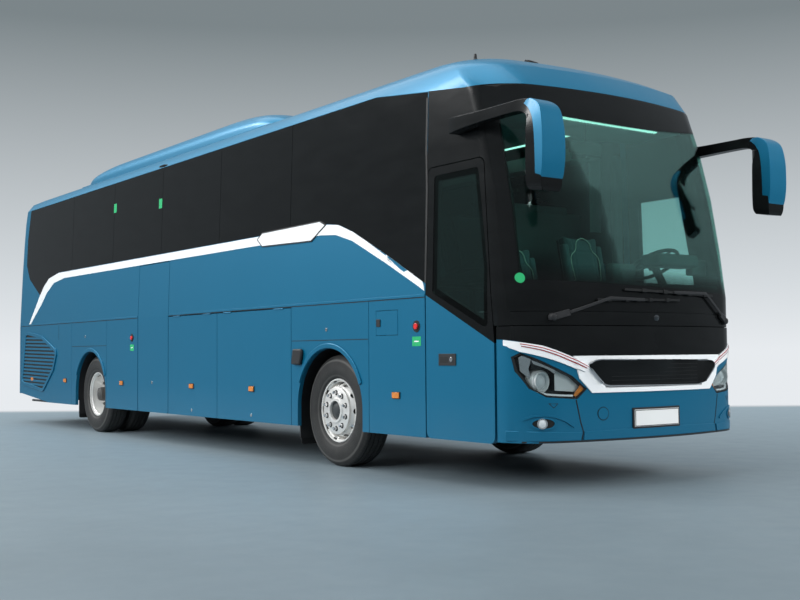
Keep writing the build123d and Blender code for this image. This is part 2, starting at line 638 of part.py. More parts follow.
def make_front_axle():
    """Dropped beam with an air spring under each rail and an eye for each kingpin."""
    z = TYRE_R
    beam = block(AXLE_F - 50, AXLE_F + 50, -HOUSE_Y - 50, HOUSE_Y + 50, z - 180, z - 70)
    beam += both(AXLE_F - 40, AXLE_F + 40, HOUSE_Y + 30, HOUSE_Y + 130, z - 180, z + 40)
    beam += both(AXLE_F - 40, AXLE_F + 40, HOUSE_Y + 110, KINGPIN_Y, z - 40, z + 40)
    for y in (-KINGPIN_Y, KINGPIN_Y):
        beam += disc("Z", (AXLE_F, y), 50, z - 40, z + 40)
        beam -= disc("Z", (AXLE_F, y), PIN_R + PIN_PLAY, z - 120, z + 80)
    spring_y = (RAILS_Y[0] + RAILS_Y[1]) / 2
    for y in (-spring_y, spring_y):
        beam += disc("Z", (AXLE_F, y), 90, z - 70, RAILS_Z[0])
    put("front_axle", beam)


def knuckle(side):
    """Fork round the beam's eye, with the stub axle outboard and the steering arm straight behind."""
    y, z = side * KINGPIN_Y, TYRE_R
    fork = block(AXLE_F - 60, AXLE_F + 60, y - 60, y + 60, z - 90, z - 42)
    fork += block(AXLE_F - 60, AXLE_F + 60, y - 60, y + 60, z + 42, z + 90)
    outer_y = side * (KINGPIN_Y + 75)
    fork += block(AXLE_F - 60, AXLE_F + 60, *sorted((y + side * 54, outer_y)), z - 90, z + 90)
    pin = disc("Z", (AXLE_F, y), PIN_R, z - 50, z + 50)
    stub = disc("Y", (AXLE_F, z), STUB_R, *sorted((outer_y, side * (KINGPIN_Y + 175))))
    arm = block(AXLE_F - STEER_ARM, AXLE_F - 50, y - 25, y + 25, z - 80, z - 50)
    arm += disc("Z", (AXLE_F - STEER_ARM, y), 30, z - 80, z - 50)
    arm += disc("Z", (AXLE_F - STEER_ARM, y), ROD_PIN_R, z - 120, z - 80)
    return fork + pin + stub + arm


def make_steering():
    put("knuckle_left", knuckle(1))
    put("knuckle_right", knuckle(-1))
    x, z = AXLE_F - STEER_ARM, TYRE_R - 100
    rod = disc("Y", (x, z), 16, 25 - KINGPIN_Y, KINGPIN_Y - 25)
    rod += ring("Z", (x, KINGPIN_Y), 32, ROD_PIN_R + PIN_PLAY, z - 16, z + 16)
    rod += ring("Z", (x, -KINGPIN_Y), 32, ROD_PIN_R + OPEN_PLAY, z - 16, z + 16)
    put("track_rod", rod)


def tyre_solid(y):
    """A tyre about the wheel's axis: flat tread, rounded shoulders and bulging sides."""
    half = TYRE_WIDTH / 2
    bead = RIM_HALF - 14.5
    side = ((RIM_R, bead), (FLANGE_R + 0.5, bead), (FLANGE_R + 0.5, RIM_HALF), (RIM_R + 60, half - 4),
            (RIM_R + 130, half), (TYRE_R - 45, half - 12), (TYRE_R - 8, half - 35), (TYRE_R, half - 60))
    points = [(r, y - w) for r, w in side] + [(r, y + w) for r, w in reversed(side)]
    return revolve(area(points), Axis.Y)


def rim_solid(y, disc_y):
    """A rim about the wheel's axis: barrel with two flanges, and a disc at disc_y with ten hand holes."""
    side = ((RIM_R - 22, RIM_HALF), (FLANGE_R, RIM_HALF), (FLANGE_R, RIM_HALF - 12),
            (RIM_R - 0.5, RIM_HALF - 14))
    points = [(r, y - w) for r, w in side] + [(r, y + w) for r, w in reversed(side)]
    barrel = revolve(area(points), Axis.Y)
    plate = ring("Y", (0, 0), RIM_R - 20, HUB_HOLE_R, disc_y - 8, disc_y + 8)
    for turn in range(10):
        angle = turn * pi / 5
        plate -= disc("Y", (205 * cos(angle), 205 * sin(angle)), 27, -FAR, FAR)
    return barrel + plate


def make_wheels():
    """Left wheels about their own axes; the right ones are their mirror images."""
    half = TYRE_WIDTH / 2
    stub_end = KINGPIN_Y + 175
    front_tyre = tyre_solid(TRACK_HALF)
    disc_y = TRACK_HALF + half - 40
    front_rim = rim_solid(TRACK_HALF, disc_y)
    front_rim += disc("Y", (0, 0), 130, disc_y - 60, disc_y + 30)
    front_rim += disc("Y", (0, 0), 75, KINGPIN_Y + 85, disc_y + 60)
    front_rim -= disc("Y", (0, 0), STUB_R + PIN_PLAY, 0, stub_end + 1)
    twin_y = TRACK_HALF - TWIN_SPACING
    rear_tyres = tyre_solid(TRACK_HALF) + tyre_solid(twin_y)
    middle = (TRACK_HALF + twin_y) / 2
    rear_rims = rim_solid(TRACK_HALF, middle + 8) + rim_solid(twin_y, middle - 8)
    rear_rims += ring("Y", (0, 0), 265, 200, middle + 16, TRACK_HALF - half + 50)
    rear_rims += ring("Y", (0, 0), 265, 200, twin_y + half - 50, middle - 16)
    rear_rims += disc("Y", (0, 0), 120, middle - 20, TRACK_HALF + half - 30)
    rear_rims -= disc("Y", (0, 0), 45 + PIN_PLAY, 0, middle + 101)
    for name, solid, x in (("front_tyre", front_tyre, AXLE_F), ("front_rim", front_rim, AXLE_F),
                           ("rear_tyres", rear_tyres, AXLE_R), ("rear_rims", rear_rims, AXLE_R)):
        left = Pos(x, 0, TYRE_R) * solid
        put(f"{name}_left", left)
        put(f"{name}_right", mirror(left, Plane.XZ))


def make_rear_axle():
    """Axle tube with its drive housing and an air spring beside each rail."""
    middle = TRACK_HALF - TWIN_SPACING / 2
    axle = disc("Y", (AXLE_R, TYRE_R), 70, 10 - HOUSE_Y, HOUSE_Y - 10)
    axle += disc("Y", (AXLE_R, TYRE_R), 45, -middle - 100, middle + 100)
    axle += Pos(AXLE_R, 0, TYRE_R) * Sphere(190)
    axle += disc("X", (0, TYRE_R), 80, AXLE_R - 320, AXLE_R)
    axle += both(AXLE_R - 70, AXLE_R + 70, *RAILS_Y, TYRE_R, RAILS_Z[0])
    put("rear_axle", axle)


# ---- doors, mirrors, wipers ----

COLUMN_R = 25.0
ARM_LENGTH = 500.0
ARM_Y = -HALF + 110.0         # line of the columns and of the pins on the doors
ARM_Z = 900.0
ARM_PIN_R = 12.0


def swing_arm(column_x, way):
    """Column beside the doorway with one arm that reaches way along the door to a pin."""
    column = disc("Z", (column_x, ARM_Y), COLUMN_R, STEP_Z + 25.3, 1180)
    end_x = column_x + way * ARM_LENGTH
    arm = block(*sorted((column_x, end_x)), ARM_Y - 18, ARM_Y + 18, ARM_Z - 20, ARM_Z + 20)
    arm += disc("Z", (end_x, ARM_Y), 28, ARM_Z - 20, ARM_Z + 20)
    return column + arm - disc("Z", (end_x, ARM_Y), ARM_PIN_R + PIN_PLAY, 0, 2000)


def door_bracket(pin_x):
    """Two lugs on a door's inner face with the pin that the swing arm turns on."""
    face_y = -HALF + DOOR_WALL - 5
    lugs = block(pin_x - 30, pin_x + 30, face_y, ARM_Y + 20, ARM_Z + 26, ARM_Z + 40)
    lugs += block(pin_x - 30, pin_x + 30, face_y, ARM_Y + 20, ARM_Z - 40, ARM_Z - 26)
    return lugs + disc("Z", (pin_x, ARM_Y), ARM_PIN_R, ARM_Z - 30, ARM_Z + 30)


FRONT_COLUMN_X = DOOR_F1 - 140.0
REAR_COLUMN_X = DOOR_R0 + 140.0


def make_doors():
    door = shell(0, DOOR_WALL) & prism(door_face(), "Y", -FAR, 0)
    pane = area(((DOOR_F0 + 100, 1549), (DOOR_F1 - 85, 1236), (DOOR_F1 - 87, 1710), (DOOR_F1 - 215, 2510),
                 (DOOR_F0 + 100, 2510)), 35)
    door -= shell(0, GLASS) & prism(offset(pane, 3), "Y", -FAR, 0)
    door -= prism(offset(pane, -45), "Y", -FAR, 0)
    put("front_door", door + door_bracket(FRONT_COLUMN_X - ARM_LENGTH))
    put("front_door_glass", shell(0, GLASS) & prism(pane, "Y", -FAR, 0))
    put("front_door_arm", swing_arm(FRONT_COLUMN_X, -1))
    rear = shell(0, DOOR_WALL) & prism(rear_door_face(), "Y", -FAR, 0)
    put("rear_door", rear + door_bracket(REAR_COLUMN_X + ARM_LENGTH))
    put("rear_door_arm", swing_arm(REAR_COLUMN_X, 1))


def make_mirrors():
    """Arm from the side above the door to a head ahead of the screen. Built on the right."""
    tip = FRONT + MIRROR_REACH
    arm = area(((FRONT - 980, 2935), (FRONT - 980, 2800), (FRONT - 500, 2790), (tip - 150, 2770),
                (tip - 60, 2830), (tip - 110, 2905), (FRONT - 400, 2930)), 25)
    body = prism(arm, "Y", -HALF - 75, -HALF + 10)
    body += block(FRONT - 980, FRONT - 830, -HALF - 40, -HALF + 90, 2800, 2925)
    body -= envelope(0)
    head = area(((tip - 190, 2890), (tip - 195, 2300), (tip - 150, 2205), (tip - 60, 2205), (tip, 2330),
                 (tip - 5, 2800), (tip - 70, 2890)), 30)
    body += prism(head, "Y", -HALF - 155, -HALF + 75)
    put("mirror_right", body)
    put("mirror_left", mirror(body, Plane.XZ))


WIPER_PIVOT_Z = 1310.0
# Each wiper's pivot, its elbow and its blade's tip, as shares of half the width and heights.
WIPER_RUNS = ((-0.8, -0.4, 1453, 0.212, 1463), (0.769, 0.5, 1521, -0.283, 1533))


def make_wipers():
    """Two wipers at rest across the foot of the windscreen, each arm on its pivot."""
    gauge = 14.0
    zone = envelope(-gauge) - envelope(0)
    solids = []
    for pivot, elbow, elbow_z, tip, tip_z in WIPER_RUNS:
        pivot_y, elbow_y, tip_y = pivot * HALF, elbow * HALF, tip * HALF
        run = area(((pivot_y, WIPER_PIVOT_Z - 16), (elbow_y, elbow_z - 12), (tip_y, tip_z - 10),
                    (tip_y, tip_z + 10), (elbow_y, elbow_z + 12), (pivot_y, WIPER_PIVOT_Z + 16)))
        bar = prism(run, "X", 0, FRONT + 500) + disc("X", (pivot_y, WIPER_PIVOT_Z), 26, 0, FRONT + 500)
        solids.append(bar & zone)
    put("wipers", *solids)


def main():
    os.makedirs("parts", exist_ok=True)
    make_roof()
    make_air_conditioner()
    driver = make_sides()
    make_skirts()
    make_luggage_flaps()
    make_front(driver)
    make_bumper()
    make_rear()
    make_seats()
    make_racks()
    make_controls()
    make_floor()
    make_underframe()
    make_tow_socket()
    make_engine()
    make_wheelhouses()
    make_front_axle()
    make_steering()
    make_wheels()
    make_rear_axle()
    make_doors()
    make_mirrors()
    make_wipers()


main()
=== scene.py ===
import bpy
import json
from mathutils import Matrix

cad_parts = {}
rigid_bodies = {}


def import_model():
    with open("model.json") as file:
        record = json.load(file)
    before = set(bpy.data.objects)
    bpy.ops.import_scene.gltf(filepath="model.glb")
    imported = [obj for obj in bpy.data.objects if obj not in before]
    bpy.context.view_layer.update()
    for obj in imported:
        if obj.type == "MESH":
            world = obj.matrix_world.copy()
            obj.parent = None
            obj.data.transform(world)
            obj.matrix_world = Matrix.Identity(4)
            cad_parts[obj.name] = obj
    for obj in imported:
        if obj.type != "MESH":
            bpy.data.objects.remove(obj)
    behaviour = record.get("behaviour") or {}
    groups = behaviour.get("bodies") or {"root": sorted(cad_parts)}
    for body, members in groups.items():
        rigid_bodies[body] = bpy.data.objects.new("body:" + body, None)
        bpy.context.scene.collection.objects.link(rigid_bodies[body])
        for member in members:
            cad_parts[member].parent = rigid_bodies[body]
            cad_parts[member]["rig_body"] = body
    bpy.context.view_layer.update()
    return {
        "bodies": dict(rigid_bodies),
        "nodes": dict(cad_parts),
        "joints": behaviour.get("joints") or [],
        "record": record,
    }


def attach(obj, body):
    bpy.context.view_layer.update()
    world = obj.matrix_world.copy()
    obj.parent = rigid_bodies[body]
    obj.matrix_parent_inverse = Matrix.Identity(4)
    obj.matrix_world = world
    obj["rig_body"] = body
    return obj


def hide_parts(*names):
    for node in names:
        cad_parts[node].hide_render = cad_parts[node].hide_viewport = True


bl_info = {
    "name": "Touring Coach",
    "version": (1, 0, 0),
    "blender": (4, 5, 0),
    "location": "View3D > Sidebar > Coach",
    "description": "Finishes and fittings of a touring coach, built around its packed parts",
    "category": "Object",
}

import json
import math

import bmesh
import bpy
from bpy.props import FloatProperty, FloatVectorProperty, IntProperty, PointerProperty
from mathutils import Matrix, Vector
from mathutils.bvhtree import BVHTree

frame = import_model()
NODES = frame["nodes"]
RIGHT, LEFT = -1, 1


# ---- shader maths ----

class Wire:
    """A shader socket that Python's arithmetic works on."""

    def __init__(self, finish, socket):
        self.finish, self.socket = finish, socket

    def maths(self, operation, *values):
        return self.finish.node("ShaderNodeMath", {"operation": operation}, dict(enumerate(values)))[0]

    def __add__(self, other):
        return self.maths("ADD", self, other)

    def __sub__(self, other):
        return self.maths("SUBTRACT", self, other)

    def __rsub__(self, other):
        return self.maths("SUBTRACT", other, self)

    def __mul__(self, other):
        return self.maths("MULTIPLY", self, other)

    def __pow__(self, other):
        return self.maths("POWER", self, other)

    def __abs__(self):
        return self.maths("ABSOLUTE", self)

    __radd__ = __add__
    __rmul__ = __mul__


class Finish:
    """A material, or the world, whose nodes are wired with Python expressions."""

    def __init__(self, name, world=None):
        self.owner = world or bpy.data.materials.new(name)
        self.owner.use_nodes = True
        self.tree = self.owner.node_tree
        self.tree.nodes.clear()
        self.place = self.node("ShaderNodeTexCoord")[3]
        self.x, self.y, self.z = self.node("ShaderNodeSeparateXYZ", {}, {0: self.place})

    def node(self, kind, settings=None, sockets=None):
        """One node: its settings first, then the values or links of its sockets. Returns its outputs."""
        made = self.tree.nodes.new(kind)
        for key, value in (settings or {}).items():
            if key == "stops":
                ramp = made.color_ramp.elements
                while len(ramp) < len(value):
                    ramp.new(1.0)
                for stop, (position, colour) in zip(ramp, value):
                    stop.position, stop.color = position, (*colour, 1.0)
            else:
                setattr(made, key, value)
        for key, value in (sockets or {}).items():
            if isinstance(value, Wire):
                self.tree.links.new(value.socket, made.inputs[key])
            elif value is not None:
                made.inputs[key].default_value = value
        return [Wire(self, socket) for socket in made.outputs]

    def noise(self, scale, detail=3.0, rough=0.5, stretch=(1, 1, 1)):
        """Cloudy variation from 0 to 1, its lumps 1/scale metres across."""
        where = self.place
        if stretch != (1, 1, 1):
            where = self.node("ShaderNodeMapping", {}, {0: self.place, 3: stretch})[0]
        return self.node("ShaderNodeTexNoise", {}, {"Vector": where, "Scale": scale, "Detail": detail,
                                                    "Roughness": rough})[0]

    def ramp(self, value, low, high):
        """0 below low and 1 above high."""
        return self.node("ShaderNodeMapRange", {"clamp": True}, {0: value, 1: low, 2: high, 3: 0.0, 4: 1.0})[0]

    def most(self, a, b):
        return self.node("ShaderNodeMath", {"operation": "MAXIMUM"}, {0: a, 1: b})[0]

    def sine(self, value):
        return self.node("ShaderNodeMath", {"operation": "SINE"}, {0: value})[0]

    def blend(self, share, a, b):
        """Colour a where share is 0 and b where it is 1."""
        a, b = (c if isinstance(c, Wire) else (*c, 1.0) for c in (a, b))
        return self.node("ShaderNodeMix", {"data_type": "RGBA"}, {0: share, 6: a, 7: b})[2]

    def bump(self, height, depth, strength=1.0):
        return self.node("ShaderNodeBump", {}, {"Height": height, "Distance": depth, "Strength": strength})[0]

    def gloss(self, colour, **sockets):
        """The main shader. Names of its sockets are given with underscores for spaces."""
        made = {"Base Color": colour if isinstance(colour, Wire) else (*colour, 1.0)}
        made.update({key.replace("_", " "): value for key, value in sockets.items()})
        return self.node("ShaderNodeBsdfPrincipled", {}, made)[0]

    def layered(self, share, below, above):
        """The shader below where share is 0 and the one above where it is 1."""
        return self.node("ShaderNodeMixShader", {}, {0: share, 1: below, 2: above})[0]

    def done(self, surface):
        self.node("ShaderNodeOutputMaterial", {}, {"Surface": surface})
        return self.owner


# ---- mesh helpers ----

STATION = 0.1065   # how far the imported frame's origin lies ahead of the body's middle
FRONT_WAY, REAR_WAY, ROOF_WAY = Vector((1, 0, 0)), Vector((-1, 0, 0)), Vector((0, 0, 1))
FRONT_AXLE, REAR_AXLE, TYRE_RADIUS = 3.2775, -2.8025, 0.52
OUTER_TRACK, INNER_TRACK = 1.049, 0.716   # from the middle of the coach to the middle of an outer and an inner tyre
WAIST = 1.518   # foot of the moulding over the flaps
FINISHES = {}


def at(x, y, z):
    """A point given by its station along the body."""
    return Vector((x - STATION, y, z))


def skin(*names):
    """The faces of some CAD nodes, to lay pieces on."""
    corners, faces = [], []
    for name in names:
        mesh, start = NODES[name].data, len(corners)
        corners += [v.co.copy() for v in mesh.vertices]
        faces += [[start + i for i in polygon.vertices] for polygon in mesh.polygons]
    return BVHTree.FromPolygons(corners, faces)


def spot(facing, u, v):
    """Where a point of a drawing seen along a direction lies, 9 m out from the middle."""
    flat = (0, u, v) if facing.x else (u - STATION, 0, v) if facing.y else (u - STATION, v, 0)
    return Vector(flat) + facing * 9


def met(surface, facing, u, v):
    """Where a ray through a point of a drawing meets a surface, and which way that faces there."""
    return surface.ray_cast(spot(facing, u, v), -facing)[:2]


def laid(bm, outline, facing, surface, step=0.25, lift=0.0, thick=0.004, look=0.012):
    """Adds a thin plate: an outline, or several that meet, seen along a direction and laid on a surface."""
    facing = Vector(facing)
    plate = bmesh.new()
    for cell in [outline] if isinstance(outline[0][0], float) else outline:
        plate.faces.new([plate.verts.new(spot(facing, *point)) for point in cell])
    bmesh.ops.remove_doubles(plate, verts=plate.verts[:], dist=0.0001)
    for axis in range(3):
        if facing[axis]:
            continue
        low, high = (pick(v.co[axis] for v in plate.verts) for pick in (min, max))
        cuts = int((high - low) / step) + 1
        for n in range(1, cuts):
            where, across = Vector((0, 0, 0)), Vector((0, 0, 0))
            where[axis], across[axis] = low + (high - low) * n / cuts, 1
            bmesh.ops.bisect_plane(plate, geom=plate.verts[:] + plate.edges[:] + plate.faces[:],
                                   plane_co=where, plane_no=across)
    out = plate.verts.layers.float_vector.new("out")
    for v in plate.verts:
        place, normal = outermost(surface, v.co, facing, look)
        v.co, v[out] = place + normal * lift, normal
    top = bmesh.ops.extrude_face_region(plate, geom=plate.faces[:], use_keep_orig=True)["geom"]
    for v in top:
        if isinstance(v, bmesh.types.BMVert):
            v.co += v[out] * thick
    plate.verts.layers.float_vector.remove(out)
    bmesh.ops.recalc_face_normals(plate, faces=plate.faces[:])
    join(bm, plate)


def outermost(surface, start, facing, look):
    """Where a ray meets a surface and which way that faces there, looking past the joints between parts."""
    best = None
    for offset in ((0, 0), (look, 0), (-look, 0), (0, look), (0, -look)):
        shift = Vector((0, *offset)) if facing.x else Vector((offset[0], 0, offset[1]))
        if facing.z:
            shift = Vector((*offset, 0))
        hit, normal = surface.ray_cast(start + shift, -facing)[:2]
        if hit is not None and (best is None or (hit - best[0]).dot(facing) > 0.006 + shift.length * 2):
            best = hit - shift, normal
    if best is None:
        hit, normal = surface.find_nearest(start - facing * 8)[:2]
        best = hit, normal
    normal = best[1] if best[1].dot(facing) > 0.15 else facing
    return best[0], (normal + facing * 0.1).normalized()


def join(bm, other):
    """Moves what one bmesh holds into another."""
    mesh = bpy.data.meshes.new("part")
    other.to_mesh(mesh)
    other.free()
    bm.from_mesh(mesh)
    bpy.data.meshes.remove(mesh)


def band(line, width, closed=False):
    """The quads of a strip of one width along a drawn line, mitred at its corners."""
    rows = []
    for n, point in enumerate(line):
        here = Vector(point)
        into = (here - Vector(line[n - 1])).normalized() if closed or n else None
        away = (Vector(line[(n + 1) % len(line)]) - here).normalized() if closed or n < len(line) - 1 else None
        into, away = into or away, away or into
        run = (into + away).normalized()
        side = Vector((-run.y, run.x)) * (width / 2 / max(0.4, run.dot(into)))
        rows.append((tuple(here + side), tuple(here - side)))
    return strip(*zip(*(rows + rows[:1] if closed else rows)))


def strip(above, below):
    """The quads between two drawn lines of as many points."""
    return [(above[n], above[n + 1], below[n + 1], below[n]) for n in range(len(above) - 1)]


def inset(line, by):
    """A drawn outline with its corners moved towards its middle."""
    middle = sum((Vector(point) for point in line), Vector((0, 0))) / len(line)
    return [tuple(Vector(point) + (middle - Vector(point)).normalized() * by) for point in line]


def rectangle(u0, u1, v0, v1):
    return [(u0, v0), (u1, v0), (u1, v1), (u0, v1)]


def circle(u, v, radius, sides=24):
    turn = 2 * math.pi / sides
    return [(u + radius * math.cos(n * turn), v + radius * math.sin(n * turn)) for n in range(sides)]


def block(bm, low, high, rounded=0.0, segments=2):
    """Adds a box with rounded edges, from its lowest to its highest corner."""
    low, high = at(*low), at(*high)
    made = bmesh.new()
    bmesh.ops.create_cube(made, size=1.0)
    bmesh.ops.scale(made, vec=high - low, verts=made.verts[:])
    bmesh.ops.translate(made, vec=(low + high) / 2, verts=made.verts[:])
    if rounded:
        bmesh.ops.bevel(made, geom=made.edges[:], offset=rounded, segments=segments, profile=0.5, material=-1,
                        affect="EDGES")
    join(bm, made)


def turned(bm, profile, centre, axis, steps=40, closed=False):
    """Adds a turned shape about a level axis: its profile gives radius and place along the axis."""
    axis, made = Vector(axis), bmesh.new()
    out = Vector((0, 0, 1)) if abs(axis.z) < 0.5 else Vector((1, 0, 0))
    verts = [made.verts.new(centre + axis * w + out * r) for r, w in profile]
    pairs = list(zip(verts, verts[1:])) + ([(verts[-1], verts[0])] if closed else [])
    edges = [made.edges.new(pair) for pair in pairs]
    bmesh.ops.spin(made, geom=verts + edges, cent=centre, axis=axis, angle=2 * math.pi, steps=steps, use_merge=True)
    bmesh.ops.remove_doubles(made, verts=made.verts[:], dist=0.00005)
    bmesh.ops.recalc_face_normals(made, faces=made.faces[:])
    join(bm, made)


def tube(bm, points, radius):
    """Adds a round bar along a smooth line through packed-frame points."""
    data = bpy.data.curves.new("line", "CURVE")
    data.dimensions, data.bevel_depth, data.bevel_resolution, data.use_fill_caps = "3D", radius, 2, True
    line = data.splines.new("NURBS")
    line.points.add(len(points) - 1)
    for stop, point in zip(line.points, points):
        stop.co = (*point, 1.0)
    line.order_u, line.use_endpoint_u, line.resolution_u = 3, True, 6
    holder = bpy.data.objects.new("line", data)
    bpy.context.scene.collection.objects.link(holder)
    bpy.context.view_layer.update()
    mesh = bpy.data.meshes.new_from_object(holder.evaluated_get(bpy.context.evaluated_depsgraph_get()))
    bm.from_mesh(mesh)
    bpy.data.meshes.remove(mesh)
    bpy.data.objects.remove(holder)
    bpy.data.curves.remove(data)


def swept(bm, sections, steps=1):
    """Adds a bar drawn out through rectangular sections: each gives its middle and two half-widths."""
    made, sections = bmesh.new(), [[Vector(part) for part in section] for section in sections]
    if steps > 1:
        stops = [sections[0], *sections, sections[-1]]
        line = [[spline(*(stop[k] for stop in stops[n:n + 4]), step / steps) for k in range(3)]
                for n in range(len(sections) - 1) for step in range(steps)]
        sections = [*line, sections[-1]]

    def place(verts, section):
        middle, across, up = (Vector(part) for part in section)
        for v, (a, b) in zip(verts, ((-1, -1), (1, -1), (1, 1), (-1, 1))):
            v.co = middle + across * a + up * b

    corners = [made.verts.new() for _ in range(4)]
    place(corners, sections[0])
    face = made.faces.new(corners)
    for number, section in enumerate(sections[1:]):
        grown = bmesh.ops.extrude_face_region(made, geom=[face], use_keep_orig=number == 0)["geom"]
        face = next(g for g in grown if isinstance(g, bmesh.types.BMFace))
        place(face.verts[:], section)
    bmesh.ops.recalc_face_normals(made, faces=made.faces[:])
    join(bm, made)


def spline(before, start, end, after, share):
    """A point of the smooth curve through four points, between the middle two."""
    return (start * 2 + (end - before) * share + (before * 2 - start * 5 + end * 4 - after) * share ** 2
            + (start * 3 - before - end * 3 + after) * share ** 3) / 2


def slab(bm, outline, facing, place, thick):
    """Adds flat plates with a drawn outline, at one place along a direction."""
    facing, made = Vector(facing), bmesh.new()
    axis = max(range(3), key=lambda n: abs(facing[n]))
    for cell in [outline] if isinstance(outline[0][0], float) else outline:
        made.faces.new([made.verts.new(spot(facing, *point)) for point in cell])
    bmesh.ops.remove_doubles(made, verts=made.verts[:], dist=0.0001)
    for v in made.verts:
        v.co[axis] = place - (STATION if axis == 0 else 0) - thick / 2
    top = bmesh.ops.extrude_face_region(made, geom=made.faces[:], use_keep_orig=True)["geom"]
    step = Vector((0, 0, 0))
    step[axis] = thick
    bmesh.ops.translate(made, verts=[g for g in top if isinstance(g, bmesh.types.BMVert)], vec=step)
    bmesh.ops.recalc_face_normals(made, faces=made.faces[:])
    join(bm, made)


def rounded(outline, radius):
    """A drawn outline with its corners rounded off."""
    made, steps = [], 5
    for n, point in enumerate(outline):
        here = Vector(point)
        ends = [Vector(outline[n - 1]) - here, Vector(outline[(n + 1) % len(outline)]) - here]
        cut = [here + end.normalized() * min(radius, end.length * 0.45) for end in ends]
        for step in range(steps + 1):
            t = step / steps
            made.append(tuple(cut[0] * (1 - t) ** 2 + here * (2 * t * (1 - t)) + cut[1] * t ** 2))
    return made


def ringed(bm, made, centre, axis, count):
    """Repeats a bmesh round an axis and adds it to another."""
    geometry = made.verts[:] + made.edges[:] + made.faces[:]
    bmesh.ops.spin(made, geom=geometry, cent=centre, axis=axis, angle=2 * math.pi, steps=count, use_duplicate=True)
    bmesh.ops.remove_doubles(made, verts=made.verts[:], dist=0.00005)
    join(bm, made)


def flipped(bm):
    """Adds the mirror image on the other side of the coach to what a bmesh holds."""
    bmesh.ops.mirror(bm, geom=bm.verts[:] + bm.edges[:] + bm.faces[:], axis="Y", merge_dist=0.0)
    bmesh.ops.recalc_face_normals(bm, faces=bm.faces[:])


def piece(name, bm, finish, slot, body="coach", sharp=35.0, edge=0.0, smooth=0, segments=2):
    """Turns a bmesh into a finished piece that rides on a body."""
    mesh = bpy.data.meshes.new(name)
    bm.to_mesh(mesh)
    bm.free()
    made = bpy.data.objects.new(name, mesh)
    bpy.context.scene.collection.objects.link(made)
    mesh.materials.append(FINISHES[finish])
    mesh.polygons.foreach_set("use_smooth", [True] * len(mesh.polygons))
    if not smooth:
        mesh.set_sharp_from_angle(angle=math.radians(sharp))
    if edge:
        bevel = made.modifiers.new("edge", "BEVEL")
        bevel.width, bevel.segments, bevel.limit_method, bevel.angle_limit = edge, segments, "ANGLE", math.radians(50)
    if smooth:
        rounding = made.modifiers.new("rounding", "SUBSURF")
        rounding.levels = rounding.render_levels = smooth
    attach(made, body)
    return made


def plated(name, outlines, facing, surface, finish, slot, both=False, step=0.25, lift=0.0, thick=0.004,
           look=0.012, **shape):
    """Plates laid on a surface as one piece, with their mirror image on the other side if both is set."""
    bm = bmesh.new()
    for outline in outlines:
        laid(bm, outline, facing, surface, step, lift, thick, look)
    if both:
        flipped(bm)
    return piece(name, bm, finish, slot, **shape)


def reskin(node, finish, slot):
    """A copy of a curved CAD part with merged points and even shading, shown in its place."""
    source = NODES[node]
    bm = bmesh.new()
    bm.from_mesh(source.data)
    bmesh.ops.remove_doubles(bm, verts=bm.verts[:], dist=0.00002)
    made = piece(node + "_skin", bm, finish, slot, source["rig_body"], sharp=38.0)
    even = made.modifiers.new("even", "WEIGHTED_NORMAL")
    even.keep_sharp = True
    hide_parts(node)
    return made


# ---- settings ----

class CoachPaint(bpy.types.PropertyGroup):
    """Colours of the coach."""

    body: FloatVectorProperty(name="Body", description="Colour of the metallic body paint", subtype="COLOR",
                              size=3, default=(0.001, 0.145, 0.27), min=0, max=1)
    stripe: FloatVectorProperty(name="Stripe", description="Colour of the side stripe and grille surround",
                                subtype="COLOR", size=3, default=(0.78, 0.8, 0.81), min=0, max=1)
    glass: FloatVectorProperty(name="Glass tint", description="Tint of the windscreen", subtype="COLOR",
                               size=3, default=(0.64, 0.88, 0.83), min=0, max=1)
    cloth: FloatVectorProperty(name="Cloth", description="Colour of the seat covers", subtype="COLOR",
                               size=3, default=(0.035, 0.05, 0.055), min=0, max=1)
    marker: FloatVectorProperty(name="Side markers", description="Colour of the side marker lamps",
                                subtype="COLOR", size=3, default=(0.85, 0.26, 0.02), min=0, max=1)


class CoachTrim(bpy.types.PropertyGroup):
    """Sizes of the body's trim."""

    moulding: FloatProperty(name="Moulding", description="Height of the moulding above the flaps",
                            subtype="DISTANCE", default=0.022, min=0.005, max=0.06)
    seam: FloatProperty(name="Seam", description="Width of the painted panels' joints", subtype="DISTANCE",
                        default=0.006, min=0.002, max=0.02)
    slats: IntProperty(name="Slats", description="Slats in each engine air grille", default=14, min=6, max=24)
    fans: IntProperty(name="Fans", description="Fans in each row of the roof air conditioner", default=5, min=3,
                      max=8)


class CoachWheels(bpy.types.PropertyGroup):
    """Sizes of tyres and wheels."""

    groove: FloatProperty(name="Groove", description="Depth of the tread grooves", subtype="DISTANCE",
                          default=0.012, min=0.004, max=0.02)
    nuts: IntProperty(name="Nuts", description="Wheel nuts on each wheel", default=10, min=6, max=12)
    nut_circle: FloatProperty(name="Nut circle", description="Radius of the circle of wheel nuts",
                              subtype="DISTANCE", default=0.1675)


class CoachSeats(bpy.types.PropertyGroup):
    """Seats and their pads."""

    pressure: FloatProperty(name="Pressure", description="How hard the pads are filled", default=4.0, min=0.0,
                            max=10.0)
    piping: FloatProperty(name="Piping", description="Radius of the pads' piping", subtype="DISTANCE", default=0.004,
                          min=0.002, max=0.01)
    pleats: IntProperty(name="Pleats", description="Pleats of the driver's curtain", default=7, min=3, max=15)


class CoachStage(bpy.types.PropertyGroup):
    """Floor, light and camera."""

    floor: FloatVectorProperty(name="Floor", description="Colour of the floor", subtype="COLOR", size=3,
                               default=(0.13, 0.165, 0.185), min=0, max=1)
    lens: FloatProperty(name="Lens", description="Focal length of the camera", subtype="DISTANCE_CAMERA",
                        default=50.39)


# ---- finishes ----

